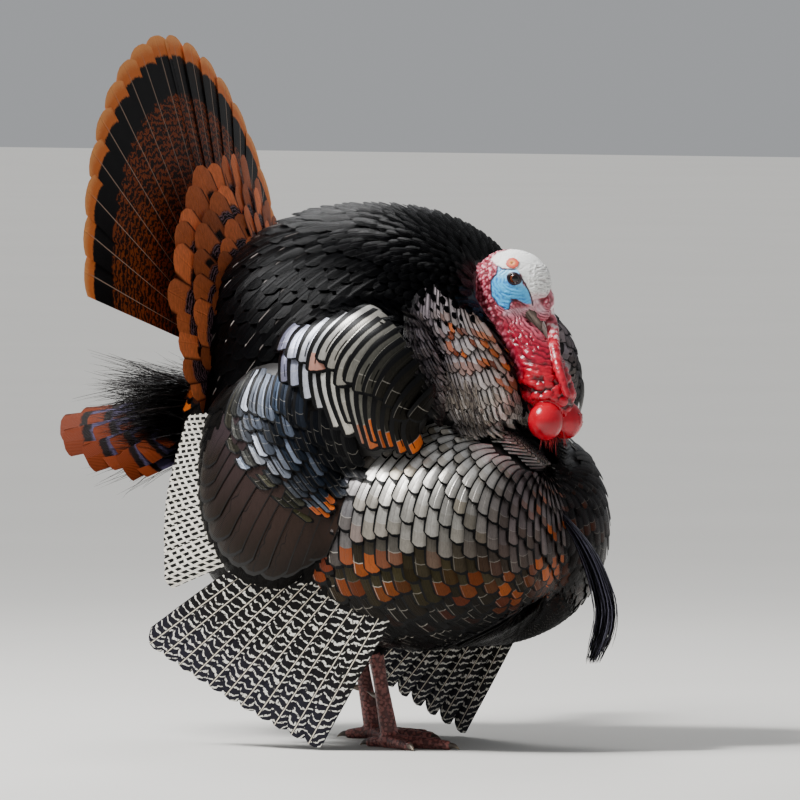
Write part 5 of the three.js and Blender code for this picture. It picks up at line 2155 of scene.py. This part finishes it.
def belly_way(p, _=None):
    """Feathers of the belly run back and down."""
    return np.stack([np.full(len(p), -0.6), 0 * p[:, 0], np.full(len(p), -0.8)], axis=1)


def on_bare_side(p):
    """Which points lie in front of the bare neck and head as the camera sees them."""
    return (from_edge(in_picture(p), NECK_CLEAR) < 3) & (p[:, 0] > 140)


RUFF_KEYS = [
    [(410, 300), (405, 338), (413, 372), (428, 400), (448, 426)],
    [(420, 292), (417, 332), (430, 368), (444, 402), (458, 432)],
    [(434, 284), (434, 326), (446, 363), (457, 398), (468, 434)],
    [(452, 296), (457, 328), (468, 363), (478, 398), (488, 435)],
    [(476, 314), (485, 330), (499, 356), (512, 384), (522, 424)],
]


def ruff_looks(lane, share, rng):
    """Near-black at the rear, purple-grey that pales below in front, and orange near the neck."""
    count = len(lane)
    stops = [(0, "#0d0b0a"), (0.2, "#3a3438"), (0.45, "#94898f"), (0.8, "#dcd0d0"), (1, "#cdb0a4")]
    colour = shade_table(stops, lane)
    colour = painted(colour, ("#f0e8e2", ramp(share, 0.5, 0.85) * ramp(lane, 0.1, 0.5) * 0.9))
    colour *= (0.6 + 0.6 * rng.random(count))[:, None]
    chance = rng.random(count)
    copper = bell(share, 0.34, 0.26) * ramp(lane, 0.5, 0.68) * (chance < 0.75) * 1.5
    copper = np.maximum(copper, bell(share, 0.55, 0.2) * ramp(lane, 0.75, 0.95) * (chance < 0.6))
    tint = with_fourth(colour, 0.1 + 0.4 * ramp(lane, 0.15, 0.5))
    return tint, marks(count, 0.9, np.clip(copper, 0, 1), 0.15, rng)


def make_fringe(material):
    """Pale hair-like ends over the lower ruff, and red ones below the wattles."""
    rng = np.random.default_rng(52)
    coat = Coat("ruff_fringe", material, "plumage", rows=5, columns=2, thick=0.4)
    lanes_wanted, per_lane = 60, 6
    out = np.linspace(0, 1, 7)[None, :, None]
    for side in SIDES:
        lanes = lanes_on(mantle, RUFF_KEYS, 0.3 + 0.7 * rng.random(lanes_wanted), side)
        spines = []
        for lane in lanes:
            run = np.linalg.norm(np.diff(lane, axis=0), axis=1).sum()
            starts = run * (0.6 + 0.36 * rng.random(per_lane))
            spines.append(along_lane(lane, starts, 10 + 10 * rng.random(per_lane), 6))
        spine = np.concatenate(spines)
        count = len(spine)
        normals = normals_at(mantle, spine)
        sway = np.cross(normals, unit(np.gradient(spine, axis=1))) * out**1.5
        spine = spine + sway * (2 * rng.normal(size=(count, 1, 1)))
        spine = spine + normals * (2.2 + 3.5 * out * rng.random((count, 1, 1)))
        pale = rng.random(count) < 0.55
        colour = np.where(pale[:, None], flat_colour("#8f8378"), flat_colour("#4a4040"))
        tint = with_fourth(colour * (0.6 + 0.7 * rng.random(count))[:, None], 1)
        coat.place(
            spine, normals, np.full(count, 0.42), np.ones(count), tint, marks(count, 0, 0, 0, rng),
            **HAIR,
        )
    count = 46
    root = vec(272, 0, 378) + rng.normal(0, 1, (count, 3)) * (7, 8, 3)
    way = unit(vec(0.35, 0, -0.9) + rng.normal(0, 0.25, (count, 3)))
    spine = root[:, None] + way[:, None] * (out * (10 + 12 * rng.random((count, 1, 1))))
    tint = with_fourth(np.tile(flat_colour("#9c1a20"), (count, 1)), 1)
    coat.place(
        spine, np.tile(vec(1, 0, 0), (count, 7, 1)), np.full(count, 1.1), np.ones(count), tint,
        marks(count, 0, 0, 0, rng), **HAIR,
    )
    return coat.make()


def in_ruff(p):
    """Which points belong to the ruff, and not to the nape or the trunk."""
    nearer = np.minimum(*(r(p) for r in RUFF)) < np.minimum(trunk(p), 4)
    return nearer & (p[:, 2] < 575 - 0.35 * np.abs(p[:, 0] - 200))


def make_ruff(material, rng):
    """The small feathers of the ruff: lanes on its sides over scattered ones round the neck."""
    near_neck = candidates_on(ruffed)
    walls = ruffed(near_neck) > mantle(near_neck) + 2
    ruff = near_neck[(in_ruff(near_neck) | walls) & (near_neck[:, 2] > 372)]
    size = np.interp(ruff[:, 2], [380, 560], [8.5, 6.5])
    chosen = scatter(ruff, size, 6)
    ruff, size = ruff[chosen], size[chosen]
    kept = from_edge(in_picture(ruff + ruff_way(ruff) * size[:, None] * 2.0), NECK_CLEAR) > -6
    ruff, size = ruff[kept], size[kept]
    count = len(ruff)
    coat = Coat("ruff_feathers", material, "plumage", rows=6, columns=4)
    colour = painted(
        "#2b2423",
        ("#4d4448", ramp(ruff[:, 2], 430, 390)),
        ("#0c0a09", ramp(ruff[:, 2], 490, 550)),
    )
    copper = bell(ruff[:, 2], 505, 40) * ramp(ruff[:, 0], 160, 200) * (rng.random(count) > 0.6)
    tint = with_fourth(colour * (0.7 + 0.6 * rng.random(count))[:, None], 0.45)
    mark = marks(count, 1, copper, 0.1, rng)
    coat.lay(
        ruffed, ruff, ruff_way(ruff), size * 3.4, size * 0.5, tint, mark,
        flow=ruff_way, sink=6, rise=0.5, tip=1.6, power=1.7, skew=0.3,
    )
    for side in SIDES:
        lanes = lanes_on(mantle, RUFF_KEYS, np.linspace(0, 1, 26), side)
        feathers_in_lanes(
            coat, mantle, lanes, 23, 2.0, 0.85, ruff_looks, rng,
            past=14, sink=3, rise=2.4, tip=1.8, power=1.5, skew=0.3, roll=0.2,
        )
    coat.make("neck_ruff")


def make_back(black, rng):
    """The black feathers of the nape and back."""
    spots = candidates_on(mantle)
    back = spots[~in_ruff(spots) & (spots[:, 2] > 425 - 0.1 * spots[:, 0])]
    rear = ramp(back[:, 0], 200, -60)
    size = 8 + 10 * rear
    chosen = scatter(back, size, 7)
    back, size = back[chosen], size[chosen]
    shoulder = from_edge(in_picture(back), SHOULDER_ZONE) < -2
    kept = ~on_bare_side(back + back_way(back) * size[:, None])
    kept &= ~(shoulder & (np.abs(back[:, 1]) > 60))
    back, size = back[kept], size[kept]
    count = len(back)
    coat = Coat("back_feathers", black, "plumage", rows=7, columns=5)
    colour = flat_colour("#030304") * (0.4 + 0.8 * rng.random(count))[:, None]
    tint = with_fourth(colour, 0.1)
    rust = ramp(back[:, 0], -125, -170) * (rng.random(count) > 0.4)
    # pale: painted highlights as thin strokes along the rear edges of the back's feathers, more towards the
    # rear.
    pale = (rng.random(count) > 0.62) * 0.8 * ramp(back[:, 0], 60, -40)
    mark = marks(count, 1, rust * 0.8, pale, rng)
    coat.lay(
        mantle, back, back_way(back), size * 2.9, size * 0.72, tint, mark,
        flow=back_way, sink=7, rise=2.0, tip=0.9, power=2.3,
    )
    coat.make()


def plumage_and_thighs(p):
    return union([plumage(p), *(t(p) for t in THIGHS)], 16)


def make_belly(material):
    """The dark feathers of the flanks, belly, vent and thighs."""
    rng = np.random.default_rng(42)
    spots = candidates_on(plumage_and_thighs)
    radial = spots - BREAST_TOP
    around = np.degrees(np.arctan2(np.abs(radial[:, 1]), radial[:, 0]))
    low = (spots[:, 2] < 440) & (around > 132)
    spots = spots[low]
    size = np.interp(spots[:, 2], [80, 200, 400], [7, 12, 14])
    chosen = scatter(spots, size, 8)
    spots, size = spots[chosen], size[chosen]
    count = len(spots)
    coat = Coat("belly_feathers", material, "plumage", rows=6, columns=4)
    colour = flat_colour("#0a0807") * (0.6 + 0.8 * rng.random(count))[:, None]
    tint = with_fourth(colour, 0.1)
    mark = marks(count, 0.6, 0, 0, rng)
    coat.lay(
        plumage_and_thighs, spots, belly_way(spots), size * 3.0, size * 0.7, tint, mark,
        flow=belly_way, sink=6, rise=0.0, tip=1.0, power=2.0,
    )
    coat.make("thigh_right", "thigh_left")


# ------------------------------------------------------------------ all together
make_stage()
make_camera()
make_skin()
make_eyes()
horn = paint_horn()
make_bill(horn)
make_claws(horn)
bristle = paint_bristle()
make_beard(bristle)
body_vane = paint_body_vane("body_vane")
make_breast(body_vane)
black_vane = paint_body_vane("black_vane", roughness=0.3, specular=0.05, panel_shade=0.2, highlight_strokes=True)
mantle_draws = np.random.default_rng(41)
make_ruff(body_vane, mantle_draws)
make_back(black_vane, mantle_draws)
make_fringe(bristle)
make_belly(black_vane)
wing_vane = paint_body_vane("wing_vane", shaft=0.9, panel_shade=0.25, rear_edge=0.5)
make_scapulars(wing_vane)
make_coverts(wing_vane)
make_greater_coverts()
make_flight_feathers()
make_tail()
make_tail_coverts()
make_vent()
make_fluff(bristle)
